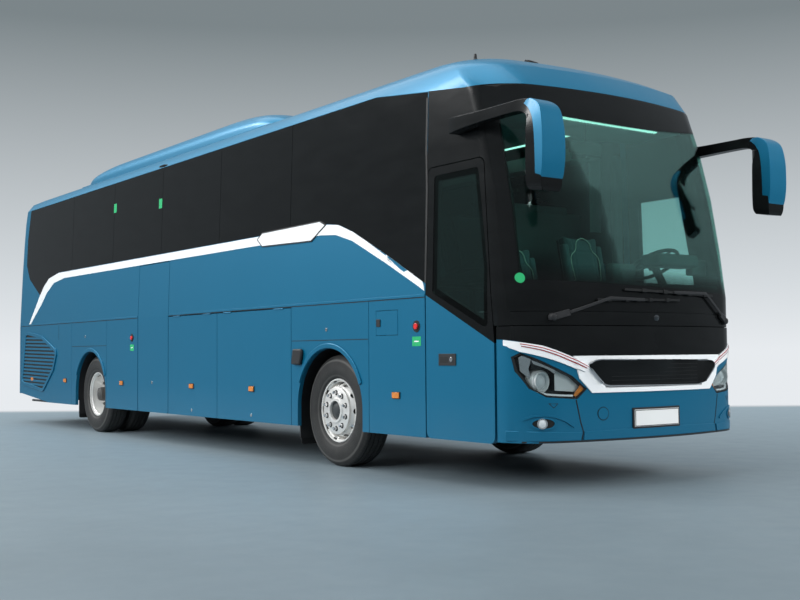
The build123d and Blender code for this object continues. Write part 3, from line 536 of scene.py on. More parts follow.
def coach_paint(f, colour):
    """Metallic paint under clear lacquer: returns its shader."""
    flakes = f.noise(900.0, 1.0)
    cloud = f.noise(0.35, 2.0)
    dark = tuple(0.84 * c for c in colour)
    light = tuple(min(1.0, 1.14 * c) for c in colour)
    tone = f.blend(cloud * 0.35 + flakes * 0.65, dark, light)
    dust = f.ramp(f.z, 0.7, 0.32) * f.noise(3.0, 4.0)
    tone = f.blend(dust * 0.06, tone, (0.3, 0.3, 0.28))
    rough = f.noise(2.0, 3.0) * 0.05 + 0.4 + dust * 0.12
    return f.gloss(tone, Metallic=0.5, Roughness=rough, Coat_Weight=0.25, Coat_Roughness=0.15,
                   Normal=f.bump(f.noise(160.0, 1.0), 0.00012, 0.35))


def black_lacquer(f, rough=0.16):
    """Smooth black with faint smears and dust specks."""
    smear = f.noise(2.5, 4.0, 0.6, (1, 1, 3))
    tone = f.blend(smear, (0.0035, 0.004, 0.0042), (0.008, 0.009, 0.0095))
    specks = f.ramp(f.noise(400.0, 1.0), 0.68, 0.74)
    return f.gloss(f.blend(specks * 0.12, tone, (0.1, 0.1, 0.1)), Roughness=smear * 0.08 + rough,
                   Specular_IOR_Level=0.13, Normal=f.bump(f.noise(1.3, 1.0), 0.0006, 0.25))


def clear_pane(f, tint):
    """Clear glass: what is behind it, tinted, under a mirror that grows towards the edge of sight."""
    through = f.node("ShaderNodeBsdfTransparent", {}, {"Color": (*tint, 1.0)})[0]
    mirror = f.node("ShaderNodeBsdfGlossy", {}, {"Color": (1, 1, 1, 1), "Roughness": 0.03})[0]
    share = f.node("ShaderNodeFresnel", {}, {"IOR": 1.45})[0] * 0.4
    return f.layered(share, through, mirror)


def moulded(name, colour, rough, metal=0.0, grain=60.0, spread=0.12, depth=0.0002, coat=0.0, worn=None):
    """A moulded, cast or rolled finish with slight variation, grain and, on request, a worn tone."""
    f = Finish(name)
    tone = f.blend(f.noise(grain / 12, 3.0), tuple((1 - spread) * c for c in colour),
                   tuple(min(1.0, (1 + spread) * c) for c in colour))
    if worn:
        tone = f.blend(f.ramp(f.noise(grain / 6, 5.0, 0.7), 0.55, 0.7) * 0.6, tone, worn)
    return f.done(f.gloss(tone, Metallic=metal, Roughness=f.noise(grain / 4, 3.0) * 0.12 + (rough - 0.06),
                          Coat_Weight=coat, Normal=f.bump(f.noise(grain * 8, 2.0), depth, 0.5)))


def door_paint(name, colour):
    """The front door: body paint below a black upper part with a slanting edge."""
    f = Finish(name)
    edge = 1.525 - 0.474 * (f.x + (STATION - 4.788))
    black = f.ramp(f.z - edge, -0.001, 0.001)
    return f.done(f.layered(black, coach_paint(f, colour), black_lacquer(f)))


def bumper_paint(name, colour):
    """The bumper: body paint below the light bands and the grille, black above them."""
    f = Finish(name)
    edge = f.most((abs(f.y) - 0.86) * 0.333 + 1.016, 1.016)
    black = f.ramp(f.z - edge, -0.001, 0.001)
    return f.done(f.layered(black, coach_paint(f, colour), black_lacquer(f)))


def windscreen_glass(name, tint):
    """Tinted glass with a black printed border, deeper at the top and the foot."""
    f = Finish(name)
    rise = f.z - 1.362
    edge = 5.775 - STATION - 0.15033 * rise - 0.05525 * (rise * (f.z - 2.26))
    sides = f.ramp(f.x - edge, 0.105, 0.09)
    top = f.ramp(f.z + (f.y + 0.1) ** 2.0 * -0.07, 2.885, 2.9)
    foot = f.ramp(f.z + f.y * 0.03, 1.585, 1.56)
    dots = f.ramp(f.z + f.y * 0.03, 1.7, 1.58) * 0.55
    print_mask = f.most(f.most(sides, top), f.most(foot, dots))
    return f.done(f.layered(print_mask, clear_pane(f, tint), black_lacquer(f, 0.08)))


def side_glass(name, tint):
    """Near-black bonded panes; the driver's pane ahead of them is clear."""
    f = Finish(name)
    clear = f.ramp(f.x, 4.7, 4.71) * f.ramp(f.y, 0.0, 0.1)
    return f.done(f.layered(clear, black_lacquer(f, 0.09), clear_pane(f, tint)))


def tyre_rubber(name, station):
    """Tyre rubber: sipes across the tread and fine rings with raised dashes on the walls."""
    f = Finish(name)
    dx, dz = f.x - (station - STATION), f.z - TYRE_RADIUS
    radius = (dx ** 2.0 + dz ** 2.0) ** 0.5
    angle = f.node("ShaderNodeMath", {"operation": "ARCTAN2"}, {0: dz, 1: dx})[0]
    tread = f.ramp(radius, 0.497, 0.505)
    sipe = f.ramp(f.sine(angle * 110.0 + f.y * 60.0), 0.75, 0.95) * tread
    rings = f.sine(radius * 900.0)
    walls = f.ramp(rings, 0.2, 0.9) * f.ramp(radius, 0.46, 0.45) * f.ramp(radius, 0.32, 0.33)
    tone = f.blend(f.noise(9.0, 4.0), (0.014, 0.014, 0.014), (0.03, 0.03, 0.029))
    tone = f.blend(tread * f.noise(30.0, 3.0) * 0.5, tone, (0.07, 0.068, 0.064))
    # painted highlight: a lighter ring round the tyre's shoulder stands in for the light caught on its rounded edge;
    # a fainter lighter ring is laid near the bead
    shoulder_highlight = f.ramp(radius, 0.455, 0.465) * f.ramp(radius, 0.482, 0.474)
    bead = f.ramp(radius, 0.318, 0.323) * f.ramp(radius, 0.338, 0.332)
    tone = f.blend(f.most(shoulder_highlight * 0.5, bead * 0.35), tone, (0.12, 0.118, 0.112))
    height = walls * 0.4 - sipe
    return f.done(f.gloss(tone, Roughness=f.noise(20.0, 3.0) * 0.15 + 0.6, Normal=f.bump(height, 0.0016, 0.9)))


def woven(name, colour, thread=420.0):
    """Woven cloth: crossed threads, a darker fleck and a soft sheen."""
    f = Finish(name)
    turn = thread * 6.283
    weave = f.most(f.sine((f.y + f.x * 0.3) * turn), f.sine((f.z + f.x * 0.7) * turn))
    light = tuple(min(1.0, 1.8 * c) for c in colour)
    tone = f.blend(f.noise(45.0, 3.0), colour, light)
    tone = f.blend(f.ramp(f.noise(260.0, 1.0), 0.6, 0.68) * 0.5, tone, tuple(0.4 * c for c in colour))
    return f.done(f.gloss(tone, Roughness=f.noise(12.0, 2.0) * 0.1 + 0.82, Sheen_Weight=0.25, Sheen_Roughness=0.4,
                          Normal=f.bump(weave, 0.0003, 0.6)))


def lamp_red(name, colour):
    """A moulded lamp lens: fine ribs under a smooth face."""
    f = Finish(name)
    ribs = f.sine(f.z * 700.0) * f.sine(f.y * 700.0)
    tone = f.blend(f.ramp(ribs, -0.3, 0.6), tuple(0.45 * c for c in colour), colour)
    return f.done(f.gloss(tone, Roughness=f.noise(30.0, 2.0) * 0.06 + 0.12, Coat_Weight=1.0, Coat_Roughness=0.03,
                          Normal=f.bump(ribs, 0.0008, 0.5)))


def floor_cover(name):
    """Fine-speckled vinyl flooring."""
    f = Finish(name)
    speck = f.ramp(f.noise(700.0, 1.0), 0.58, 0.66)
    tone = f.blend(speck, (0.055, 0.062, 0.068), (0.2, 0.21, 0.22))
    return f.done(f.gloss(tone, Roughness=f.noise(8.0, 3.0) * 0.15 + 0.5, Normal=f.bump(speck, 0.0002, 0.4)))


def brushed(name, colour, rough, station=None, metal=1.0):
    """Polished aluminium with fine turning marks about a wheel's axis, or brushed along its length."""
    f = Finish(name)
    if station is None:
        marks = f.noise(60.0, 4.0, 0.6, (1, 1, 12))
    else:
        radius = ((f.x - (station - STATION)) ** 2.0 + (f.z - TYRE_RADIUS) ** 2.0) ** 0.5
        marks = f.sine(radius * 2400.0 + f.noise(14.0, 3.0) * 5.0) * 0.5 + 0.5
    tone = f.blend(f.noise(5.0, 4.0), tuple(0.88 * c for c in colour), colour)
    tone = f.blend(f.ramp(f.noise(3.0, 5.0, 0.7), 0.55, 0.85) * 0.2, tone, (0.3, 0.29, 0.27))
    return f.done(f.gloss(tone, Metallic=metal, Roughness=marks * 0.06 + rough, Normal=f.bump(marks, 0.00001, 0.3)))


def make_finishes(paint):
    """Every finish of the coach, by name."""
    body, stripe, tint = tuple(paint.body), tuple(paint.stripe), tuple(paint.glass)
    for key, name, layer, values in (("body_paint", "coach_blue", coach_paint, (body,)),
                                     ("black_lacquer", "black_lacquer", black_lacquer, ()),
                                     ("smoked_glass", "smoked_glass", black_lacquer, (0.07,)),
                                     ("clear_glass", "clear_glass", clear_pane, ((0.93, 0.96, 0.96),)),
                                     ("door_glass", "door_glass", clear_pane, (tuple(0.5 * c for c in tint),))):
        f = Finish(name)
        FINISHES[key] = f.done(layer(f, *values))
    FINISHES["door_paint"] = door_paint("door_paint", body)
    FINISHES["bumper_paint"] = bumper_paint("bumper_paint", body)
    FINISHES["windscreen_glass"] = windscreen_glass("windscreen_glass", tint)
    FINISHES["side_glass"] = side_glass("side_glass", (0.88, 0.97, 0.98))
    for end, station in (("front", FRONT_AXLE), ("rear", REAR_AXLE)):
        FINISHES[end + "_tyre"] = tyre_rubber(end + "_tyre_rubber", station)
        FINISHES[end + "_rim"] = brushed(end + "_rim_metal", (0.86, 0.85, 0.82), 0.34, station, 0.55)
    FINISHES["bright_metal"] = brushed("bright_metal", (0.8, 0.8, 0.81), 0.14)
    FINISHES["seat_cloth"] = woven("seat_cloth", tuple(paint.cloth))
    FINISHES["curtain"] = woven("curtain_cloth", (0.16, 0.19, 0.19), 300.0)
    FINISHES["red_lens"] = lamp_red("red_lens", (0.5, 0.01, 0.014))
    FINISHES["amber_lens"] = lamp_red("amber_lens", tuple(paint.marker))
    FINISHES["floor_cover"] = floor_cover("floor_cover")
    FINISHES["stripe"] = moulded("stripe_white", stripe, 0.3, grain=12.0, spread=0.04, depth=0.00002, coat=0.6)
    FINISHES["lamp_white"] = moulded("lamp_white", (0.72, 0.74, 0.76), 0.25, grain=50.0, spread=0.08, coat=0.6)
    FINISHES["plastic"] = moulded("black_plastic", (0.018, 0.018, 0.019), 0.46)
    FINISHES["gasket"] = moulded("gasket_rubber", (0.009, 0.009, 0.009), 0.6)
    FINISHES["chassis"] = moulded("chassis_paint", (0.03, 0.03, 0.032), 0.6, grain=30.0, worn=(0.1, 0.085, 0.07))
    FINISHES["cast_iron"] = moulded("cast_iron", (0.09, 0.088, 0.085), 0.62, metal=0.5, grain=80.0, depth=0.0006,
                                    worn=(0.13, 0.1, 0.08))
    FINISHES["zinc"] = moulded("zinc_steel", (0.45, 0.46, 0.47), 0.36, metal=0.9, grain=90.0)
    FINISHES["dark_trim"] = moulded("dark_trim", (0.03, 0.034, 0.036), 0.55, grain=120.0, depth=0.0004)
    FINISHES["pale_trim"] = moulded("pale_trim", (0.3, 0.34, 0.34), 0.5, grain=120.0, depth=0.0003)
    FINISHES["leather"] = moulded("rim_leather", (0.012, 0.012, 0.013), 0.42, grain=220.0, depth=0.0006)
    FINISHES["label_green"] = moulded("label_green", (0.02, 0.36, 0.13), 0.35, grain=40.0, spread=0.06)
    FINISHES["red_knob"] = moulded("red_knob", (0.6, 0.02, 0.02), 0.3, grain=40.0, coat=0.5)
    FINISHES["thread"] = moulded("stitch_thread", (0.5, 0.46, 0.4), 0.7, grain=300.0)
    FINISHES["lens"] = moulded("lamp_lens", (0.66, 0.7, 0.72), 0.1, metal=0.25, grain=30.0, coat=1.0)
    FINISHES["reflector"] = moulded("reflector", (0.62, 0.64, 0.64), 0.3, metal=0.4, grain=14.0, spread=0.2, coat=0.6)
    FINISHES["lamp_bowl"] = moulded("lamp_bowl", (0.035, 0.04, 0.042), 0.2, metal=0.6, grain=40.0, coat=0.4)
    FINISHES["mirror_glass"] = moulded("mirror_glass", (0.75, 0.8, 0.82), 0.08, metal=1.0, grain=4.0, spread=0.03,
                                       depth=0.00001)
    FINISHES["plate_white"] = moulded("plate_white", (0.72, 0.73, 0.72), 0.35, grain=30.0, spread=0.03)
    FINISHES["screen"] = moulded("screen_glass", (0.01, 0.014, 0.018), 0.1, grain=10.0, coat=0.8)
    f = Finish("strip_light")
    FINISHES["strip_light"] = f.done(f.gloss(f.blend(f.noise(20.0, 2.0), (0.6, 0.75, 0.7), (0.75, 0.85, 0.8)),
                                             Roughness=f.noise(40.0, 2.0) * 0.1 + 0.3,
                                             Emission_Color=(0.62, 0.9, 0.8, 1), Emission_Strength=1.8))


NODE_FINISH = {
    "side_glass": ("side_glass_right", "side_glass_left"),
    "smoked_glass": ("rear_window",),
    "door_glass": ("front_door_glass",),
    "windscreen_glass": ("windscreen",),
    "black_lacquer": ("front_frame",),
    "door_paint": ("front_door",),
    "plastic": ("wheelhouses", "mirror_right", "mirror_left", "wipers"),
    "dark_trim": ("dashboard",),
    "leather": ("steering_wheel",),
    "front_rim": ("front_rim_left", "front_rim_right"),
    "rear_rim": ("rear_rims_left", "rear_rims_right"),
    "stripe": ("front_grille",),
    "red_lens": ("tail_lamps",),
    "chassis": ("underframe", "tow_socket"),
    "cast_iron": ("front_axle", "rear_axle", "engine", "knuckle_left", "knuckle_right"),
    "zinc": ("track_rod", "front_door_arm", "rear_door_arm"),
    "pale_trim": ("luggage_racks",),
    "floor_cover": ("floor",),
}
RESKINNED = {
    "roof": ("body_paint", "body_paint"), "rear_wall": ("body_paint", "body_paint"),
    "front_bumper": ("bumper_paint", "body_paint"), "windscreen": ("windscreen_glass", "clear_glass"),
    "front_frame": ("black_lacquer", "black_panel"),
}


class COACH_OT_frame_finishes(bpy.types.Operator):
    """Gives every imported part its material, and the curved skins an even shading"""

    bl_idname = "coach.frame_finishes"
    bl_label = "Frame finishes"

    def execute(self, context):
        make_finishes(context.scene.coach_paint)
        chosen = {node: finish for finish, nodes in NODE_FINISH.items() for node in nodes}
        for name, node in NODES.items():
            material = FINISHES[chosen.get(name, "body_paint")]
            for place in node.material_slots:
                place.material = material
        for node, (finish, slot) in RESKINNED.items():
            reskin(node, finish, slot)
        return {"FINISHED"}


# ---- sides ----

STRIPE_TOP = ((4.75, 1.61), (4.731, 1.645), (4.206, 1.906), (3.662, 2.161), (3.424, 2.245), (3.193, 2.27),
              (-4.15, 2.27), (-4.57, 2.21), (-4.785, 2.106), (-4.959, 1.968), (-5.449, 1.518))
STRIPE_FOOT = ((4.758, 1.567), (4.646, 1.624), (4.205, 1.834), (3.662, 2.077), (3.388, 2.155), (3.12, 2.176),
               (-3.904, 2.18), (-4.356, 2.13), (-4.651, 1.995), (-4.86, 1.84), (-5.38, 1.518))
BADGE_PLATE = ((1.881, 2.24), (1.989, 2.3), (3.102, 2.31), (3.204, 2.267), (2.953, 2.135), (1.989, 2.16))
AIR_GRILLE = ((-5.47, 1.4), (-4.82, 1.335), (-4.2, 1.125), (-4.17, 1.07), (-4.296, 0.848), (-4.724, 0.545),
              (-4.8, 0.535), (-5.66, 0.625), (-5.71, 0.68), (-5.56, 1.38))
MARKERS = (-5.233, -3.786, -1.692, 0.368, 1.791, 4.355)
DOORS = (("front_door", 4.77, 5.64), ("rear_door", -1.175, -0.27))   # body, the stations of its ends
FLAPS = (("luggage_flap_{0}_rear", -0.27, 1.0), ("luggage_flap_{0}_front", 1.0, 2.6))
SIDE_NODES = ("side_wall_{0}", "side_skirt_{0}", "side_glass_{0}", "luggage_flap_{0}_front",
              "luggage_flap_{0}_rear", "front_frame", "front_bumper", "rear_wall", "rear_bumper", "tail_lamps")


def side_name(side):
    return "right" if side == RIGHT else "left"


def side_skin(side):
    names = [name.format(side_name(side)) for name in SIDE_NODES]
    return skin(*names, *(("front_door", "rear_door", "fuel_flap") if side == RIGHT else ()))


def carrier(side, x, z):
    """The body that a fitting at that place on a side rides on."""
    for body, low, high in (*(DOORS if side == RIGHT else ()), *(FLAPS if z < WAIST else ())):
        if low < x < high:
            return body.format(side_name(side))
    return "coach"


class COACH_OT_side_trim(bpy.types.Operator):
    """Lays the stripes, badge plates, mouldings and painted panels' joints on both sides"""

    bl_idname = "coach.side_trim"
    bl_label = "Side trim"

    def execute(self, context):
        trim = context.scene.coach_trim
        for side in (RIGHT, LEFT):
            surface, facing, word = side_skin(side), (0, side, 0), side_name(side)
            spans = [(-5.8, -1.19), (-0.255, 4.765)] if side == RIGHT else [(-5.8, 4.765)]
            for name, outlines, step, thick, finish, slot, edge in (
                    ("side_stripe_", [strip(STRIPE_TOP, STRIPE_FOOT)], 0.6, 0.0035, "stripe", "white_paint", 0.0),
                    ("badge_plate_", [BADGE_PLATE], 0.5, 0.008, "stripe", "white_paint", 0.003),
                    ("badge_edge_", [band(BADGE_PLATE, 0.012, closed=True)], 0.5, 0.0085, "plastic",
                     "black_plastic", 0.0),
                    ("moulding_", [rectangle(x0, x1, WAIST, WAIST + trim.moulding) for x0, x1 in spans], 0.8, 0.005,
                     "body_paint", "body_paint", 0.0015)):
                plated(name + word, outlines, facing, surface, finish, slot, step=step, thick=thick, edge=edge)
            bm = bmesh.new()
            for x0, x1 in spans:
                laid(bm, rectangle(x0, x1, 1.5105, 1.5175), facing, surface, step=0.8, thick=0.0012)
            for x0, x1, z in ((-3.524, -2.221, 1.175), (2.606, 3.934, 1.175)):
                laid(bm, rectangle(x0, x1, z, z + trim.seam), facing, surface, thick=0.0012)
            laid(bm, rectangle(-4.073, -4.067, 1.28, 1.505), facing, surface, thick=0.0012)
            piece("panel_joints_" + word, bm, "gasket", "black_plastic")
            arches = [[(station + 0.587 * math.cos(math.radians(a)), 0.54 + 0.587 * math.sin(math.radians(a)))
                       for a in range(24, 157, 6)] for station in (FRONT_AXLE, REAR_AXLE)]
            plated("arch_lips_" + word, [band(arch, 0.045) for arch in arches], facing, surface, "body_paint",
                   "body_paint", step=0.5, thick=0.012, sharp=60.0, edge=0.009, segments=3)
            self.fittings(side, surface, facing, word)
            self.air_grille(trim.slats, surface, facing, word)
        return {"FINISHED"}

    def fittings(self, side, surface, facing, word):
        """Side markers, flap locks and door furniture, each on the part that carries it."""
        made = {}

        def add(kind, finish, slot, x, z, outline, thick, edge=0.0015):
            key = (kind, carrier(side, x, z))
            if key not in made:
                made[key] = (bmesh.new(), finish, slot, edge)
            laid(made[key][0], outline, facing, surface, thick=thick)

        for x in MARKERS:
            add("side_markers", "amber_lens", "red_lens", x, 0.69, rectangle(x - 0.05, x + 0.05, 0.668, 0.718), 0.014)
            add("marker_bases", "plastic", "black_plastic", x, 0.69,
                rectangle(x - 0.056, x + 0.056, 0.662, 0.724), 0.006)
        for x, z in ((3.242, 1.276), (-3.0, 1.31), (1.78, 0.42), (0.37, 0.42)):
            add("locks", "bright_metal", "wheel_steel", x, z, circle(x, z, 0.017), 0.004)
            add("lock_slots", "gasket", "black_plastic", x, z, rectangle(x - 0.009, x + 0.009, z - 0.002, z + 0.002),
                0.0052, 0.0)
        if side == RIGHT:
            add("fuel_catch", "plastic", "black_plastic", 4.1, 1.315,
                rectangle(4.068, 4.125, 1.283, 1.348), 0.007, 0.002)
            housing = [(2.64, 0.95), (2.8, 0.945), (2.835, 1.06), (2.82, 1.1), (2.67, 1.1)]
            add("sensor_housings", "plastic", "black_plastic", 2.73, 1.02, housing, 0.035, 0.014)
            for x, z in ((4.648, 1.275), (-1.36, 1.27)):
                add("knob_wells", "gasket", "black_plastic", x, z, circle(x, z, 0.05), 0.004)
                add("emergency_knobs", "red_knob", "red_lens", x, z, circle(x, z, 0.026), 0.016, 0.004)
                add("green_labels", "label_green", "white_paint", x, z - 0.12,
                    rectangle(x - 0.06, x + 0.06, z - 0.165, z - 0.085), 0.0012, 0.0)
                add("label_marks", "stripe", "white_paint", x, z - 0.12,
                    rectangle(x - 0.03, x + 0.03, z - 0.13, z - 0.12), 0.0016, 0.0)
            add("door_lock_plates", "plastic", "black_plastic", 5.06, 1.0, rectangle(4.95, 5.17, 0.95, 1.045), 0.006)
            add("door_locks", "bright_metal", "wheel_steel", 5.11, 1.0, circle(5.115, 0.998, 0.02), 0.012)
            add("door_pulls", "gasket", "black_plastic", 5.02, 1.0, rectangle(4.97, 5.07, 0.972, 1.022), 0.0066)
            add("rear_door_locks", "bright_metal", "wheel_steel", -0.735, 0.716, circle(-0.735, 0.716, 0.018), 0.006)
            for x, z in ((-0.6, 2.9), (-2.05, 3.0)):
                add("pane_stickers", "label_green", "white_paint", x, z,
                    rectangle(x - 0.045, x + 0.045, z - 0.06, z + 0.06), 0.001, 0.0)
        for (kind, body), (bm, finish, slot, edge) in made.items():
            piece(f"{kind}_{word}" + ("" if body == "coach" else "_" + body), bm, finish, slot, body, edge=edge)

    def air_grille(self, count, surface, facing, word):
        """The engine's slatted air grille behind the rear wheel."""
        plated("air_grille_back_" + word, [AIR_GRILLE], facing, surface, "gasket", "black_plastic")
        plated("air_grille_frame_" + word, [band(AIR_GRILLE, 0.05, closed=True)], facing, surface, "body_paint",
               "body_paint", step=0.5, thick=0.016, edge=0.004)
        front_edge = ((1.335, -4.82), (1.125, -4.2), (1.07, -4.17), (0.848, -4.296), (0.545, -4.724))

        def ahead(z):
            for (z0, x0), (z1, x1) in zip(front_edge, front_edge[1:]):
                if z1 <= z <= z0:
                    return x0 + (x1 - x0) * (z0 - z) / (z0 - z1)
            return -4.9

        slats = []
        for n in range(count):
            z = 1.325 - n * 0.7 / (count - 1)
            x0, x1 = -5.56 - (1.38 - z) * 0.214 if z > 0.68 else -5.7, ahead(z)
            slats.append(band(((x0, z), (x1, z - 0.018 * (x1 - x0))), 0.03))
        plated("air_grille_slats_" + word, slats, facing, surface, "body_paint", "body_paint", step=0.6, lift=0.006,
               thick=0.007, edge=0.002)


# ---- nose ----

LAMP = ((-1.237, 1.018), (-1.204, 1.05), (-1.016, 0.945), (-0.845, 0.865), (-0.724, 0.771), (-0.818, 0.695),
        (-1.067, 0.714), (-1.166, 0.779), (-1.225, 0.908))
BAND_TOP = ((-1.2645, 1.147), (-1.2, 1.128), (-1.084, 1.1), (-0.857, 1.014), (-0.721, 0.945))
BAND_FOOT = ((-1.2645, 1.105), (-1.204, 1.056), (-0.989, 0.983), (-0.85, 0.932), (-0.753, 0.902))
GLOW_TOP = ((-1.203, 1.119), (-1.09, 1.089), (-0.97, 1.045), (-0.85, 1.0), (-0.728, 0.941))
GLOW_FOOT = ((-1.196, 1.095), (-1.09, 1.063), (-0.97, 1.018), (-0.85, 0.97), (-0.744, 0.925))
GRILLE_OPENING = ((-0.72, 0.954), (-0.656, 0.993), (0.665, 0.977), (0.748, 0.936), (0.55, 0.782), (-0.563, 0.794))


def between(above, below, low, high):
    """Two lines part of the way from one drawn line to another."""
    def line(share):
        return tuple(tuple(Vector(a).lerp(Vector(b), share)) for a, b in zip(above, below))
    return line(low), line(high)


class COACH_OT_headlamps(bpy.types.Operator):
    """Builds both headlamps in their bowls, the light bands over them and the fog lamps"""

    bl_idname = "coach.headlamps"
    bl_label = "Headlamps"

    def plate(self, name, outline, surface, finish, slot, lift, thick, edge=0.0):
        return plated(name, [outline], FRONT_WAY, surface, finish, slot, True, 0.025, lift, thick, edge=edge)

    def execute(self, context):
        lamp = skin("headlights")
        around = skin("headlights", "front_bumper", "front_grille")
        bowl = self.plate("headlamp_bowls", inset(LAMP, 0.004), lamp, "lamp_bowl", "lamp_glass", -0.118, 0.004)
        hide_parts("headlights")
        self.plate("headlamp_walls", band(inset(LAMP, 0.009), 0.009, closed=True), lamp, "gasket",
                   "black_plastic", -0.116, 0.116)
        bright = ((-0.985, 0.925), (-0.86, 0.86), (-0.765, 0.785), (-0.8, 0.748), (-0.985, 0.762))
        self.plate("headlamp_reflectors", bright, lamp, "reflector", "lamp_glass", -0.05, 0.006, 0.002)
        outer = ((-1.213, 1.015), (-1.196, 1.028), (-1.15, 1.0), (-1.165, 0.93), (-1.15, 0.83), (-1.206, 0.91))
        self.plate("headlamp_outer_bright", outer, lamp, "bright_metal", "lamp_glass", -0.03, 0.006, 0.002)
        brow = strip(((-1.15, 0.995), (-1.06, 0.95), (-0.985, 0.915)),
                     ((-1.14, 0.965), (-1.05, 0.925), (-0.99, 0.885)))
        self.plate("headlamp_brows", brow, lamp, "bright_metal", "lamp_glass", -0.03, 0.008, 0.002)
        line = ((-1.12, 0.757), (-1.06, 0.735), (-0.95, 0.726), (-0.845, 0.722))
        self.plate("day_lamps", band(line, 0.014), lamp, "lamp_white", "lamp_glass", -0.028, 0.014, 0.003)
        corner = ((-0.775, 0.8), (-0.743, 0.772), (-0.818, 0.712), (-0.838, 0.722))
        self.plate("front_indicators", corner, lamp, "amber_lens", "lamp_glass", -0.03, 0.012, 0.002)
        self.plate("headlamp_covers", inset(LAMP, 0.005), lamp, "clear_glass", "clear_glass", -0.004, 0.003)
        self.plate("light_bands", strip(BAND_TOP, BAND_FOOT), around, "stripe", "white_paint", 0.0, 0.01, 0.003)
        self.plate("light_band_glow", strip(GLOW_TOP, GLOW_FOOT), around, "red_lens", "red_lens", 0.004, 0.01, 0.002)
        self.plate("light_band_core", strip(*between(GLOW_TOP, GLOW_FOOT, 0.28, 0.72)), around, "lamp_white",
                   "lamp_glass", 0.008, 0.0075, 0.001)
        rim, lens, hub = bmesh.new(), bmesh.new(), at(5.93, -1.06, 0.83)
        turned(rim, [(0.052, -0.06), (0.06, -0.012), (0.066, 0.002), (0.073, 0.003), (0.078, -0.006),
                     (0.078, -0.06)], hub, FRONT_WAY, 48)
        turned(rim, [(0.03, -0.03), (0.034, -0.012), (0.038, -0.012), (0.042, -0.03)], hub, FRONT_WAY, 40)
        turned(lens, [(0.0, -0.004), (0.02, -0.006), (0.042, -0.014), (0.058, -0.028), (0.0, -0.034)], hub,
               FRONT_WAY, 40)
        turned(rim, [(0.08, -0.012), (0.086, -0.012), (0.086, -0.1), (0.08, -0.1)], hub, FRONT_WAY, 48, closed=True)
        for name, bm, finish in (("projector_rims", rim, "reflector"), ("projector_lenses", lens, "lens")):
            flipped(bm)
            piece(name, bm, finish, "lamp_glass")
        self.fog_lamps(skin("front_bumper"))
        return {"FINISHED"}

    def fog_lamps(self, bumper):
        """Round fog lamps in oval wells, under a moulded brow."""
        oval = [(-1.082 + 0.075 * math.cos(n * math.pi / 16), 0.517 + 0.042 * math.sin(n * math.pi / 16))
                for n in range(32)]
        self.plate("fog_lamp_wells", oval, bumper, "gasket", "black_plastic", 0.0, 0.003)
        self.plate("fog_lamp_lips", band(oval, 0.012, closed=True), bumper, "body_paint", "body_paint", 0.0, 0.008,
                   0.003)
        arc = ((-1.2, 0.545), (-1.15, 0.573), (-1.08, 0.58), (-1.0, 0.567), (-0.92, 0.535), (-0.85, 0.49))
        self.plate("fog_lamp_brows", band(arc, 0.016), bumper, "body_paint", "body_paint", 0.0, 0.009, 0.004)
        hit, normal = met(bumper, FRONT_WAY, -1.095, 0.517)
        rim, lens = bmesh.new(), bmesh.new()
        turned(rim, [(0.031, 0.002), (0.034, 0.014), (0.04, 0.014), (0.042, 0.002)], hit, normal, 36)
        turned(lens, [(0.0, 0.016), (0.016, 0.0145), (0.032, 0.008), (0.032, 0.002), (0.0, 0.002)], hit, normal, 36)
        for name, bm, finish in (("fog_lamp_rims", rim, "bright_metal"), ("fog_lamp_lenses", lens, "lens")):
            flipped(bm)
            piece(name, bm, finish, "lamp_glass")


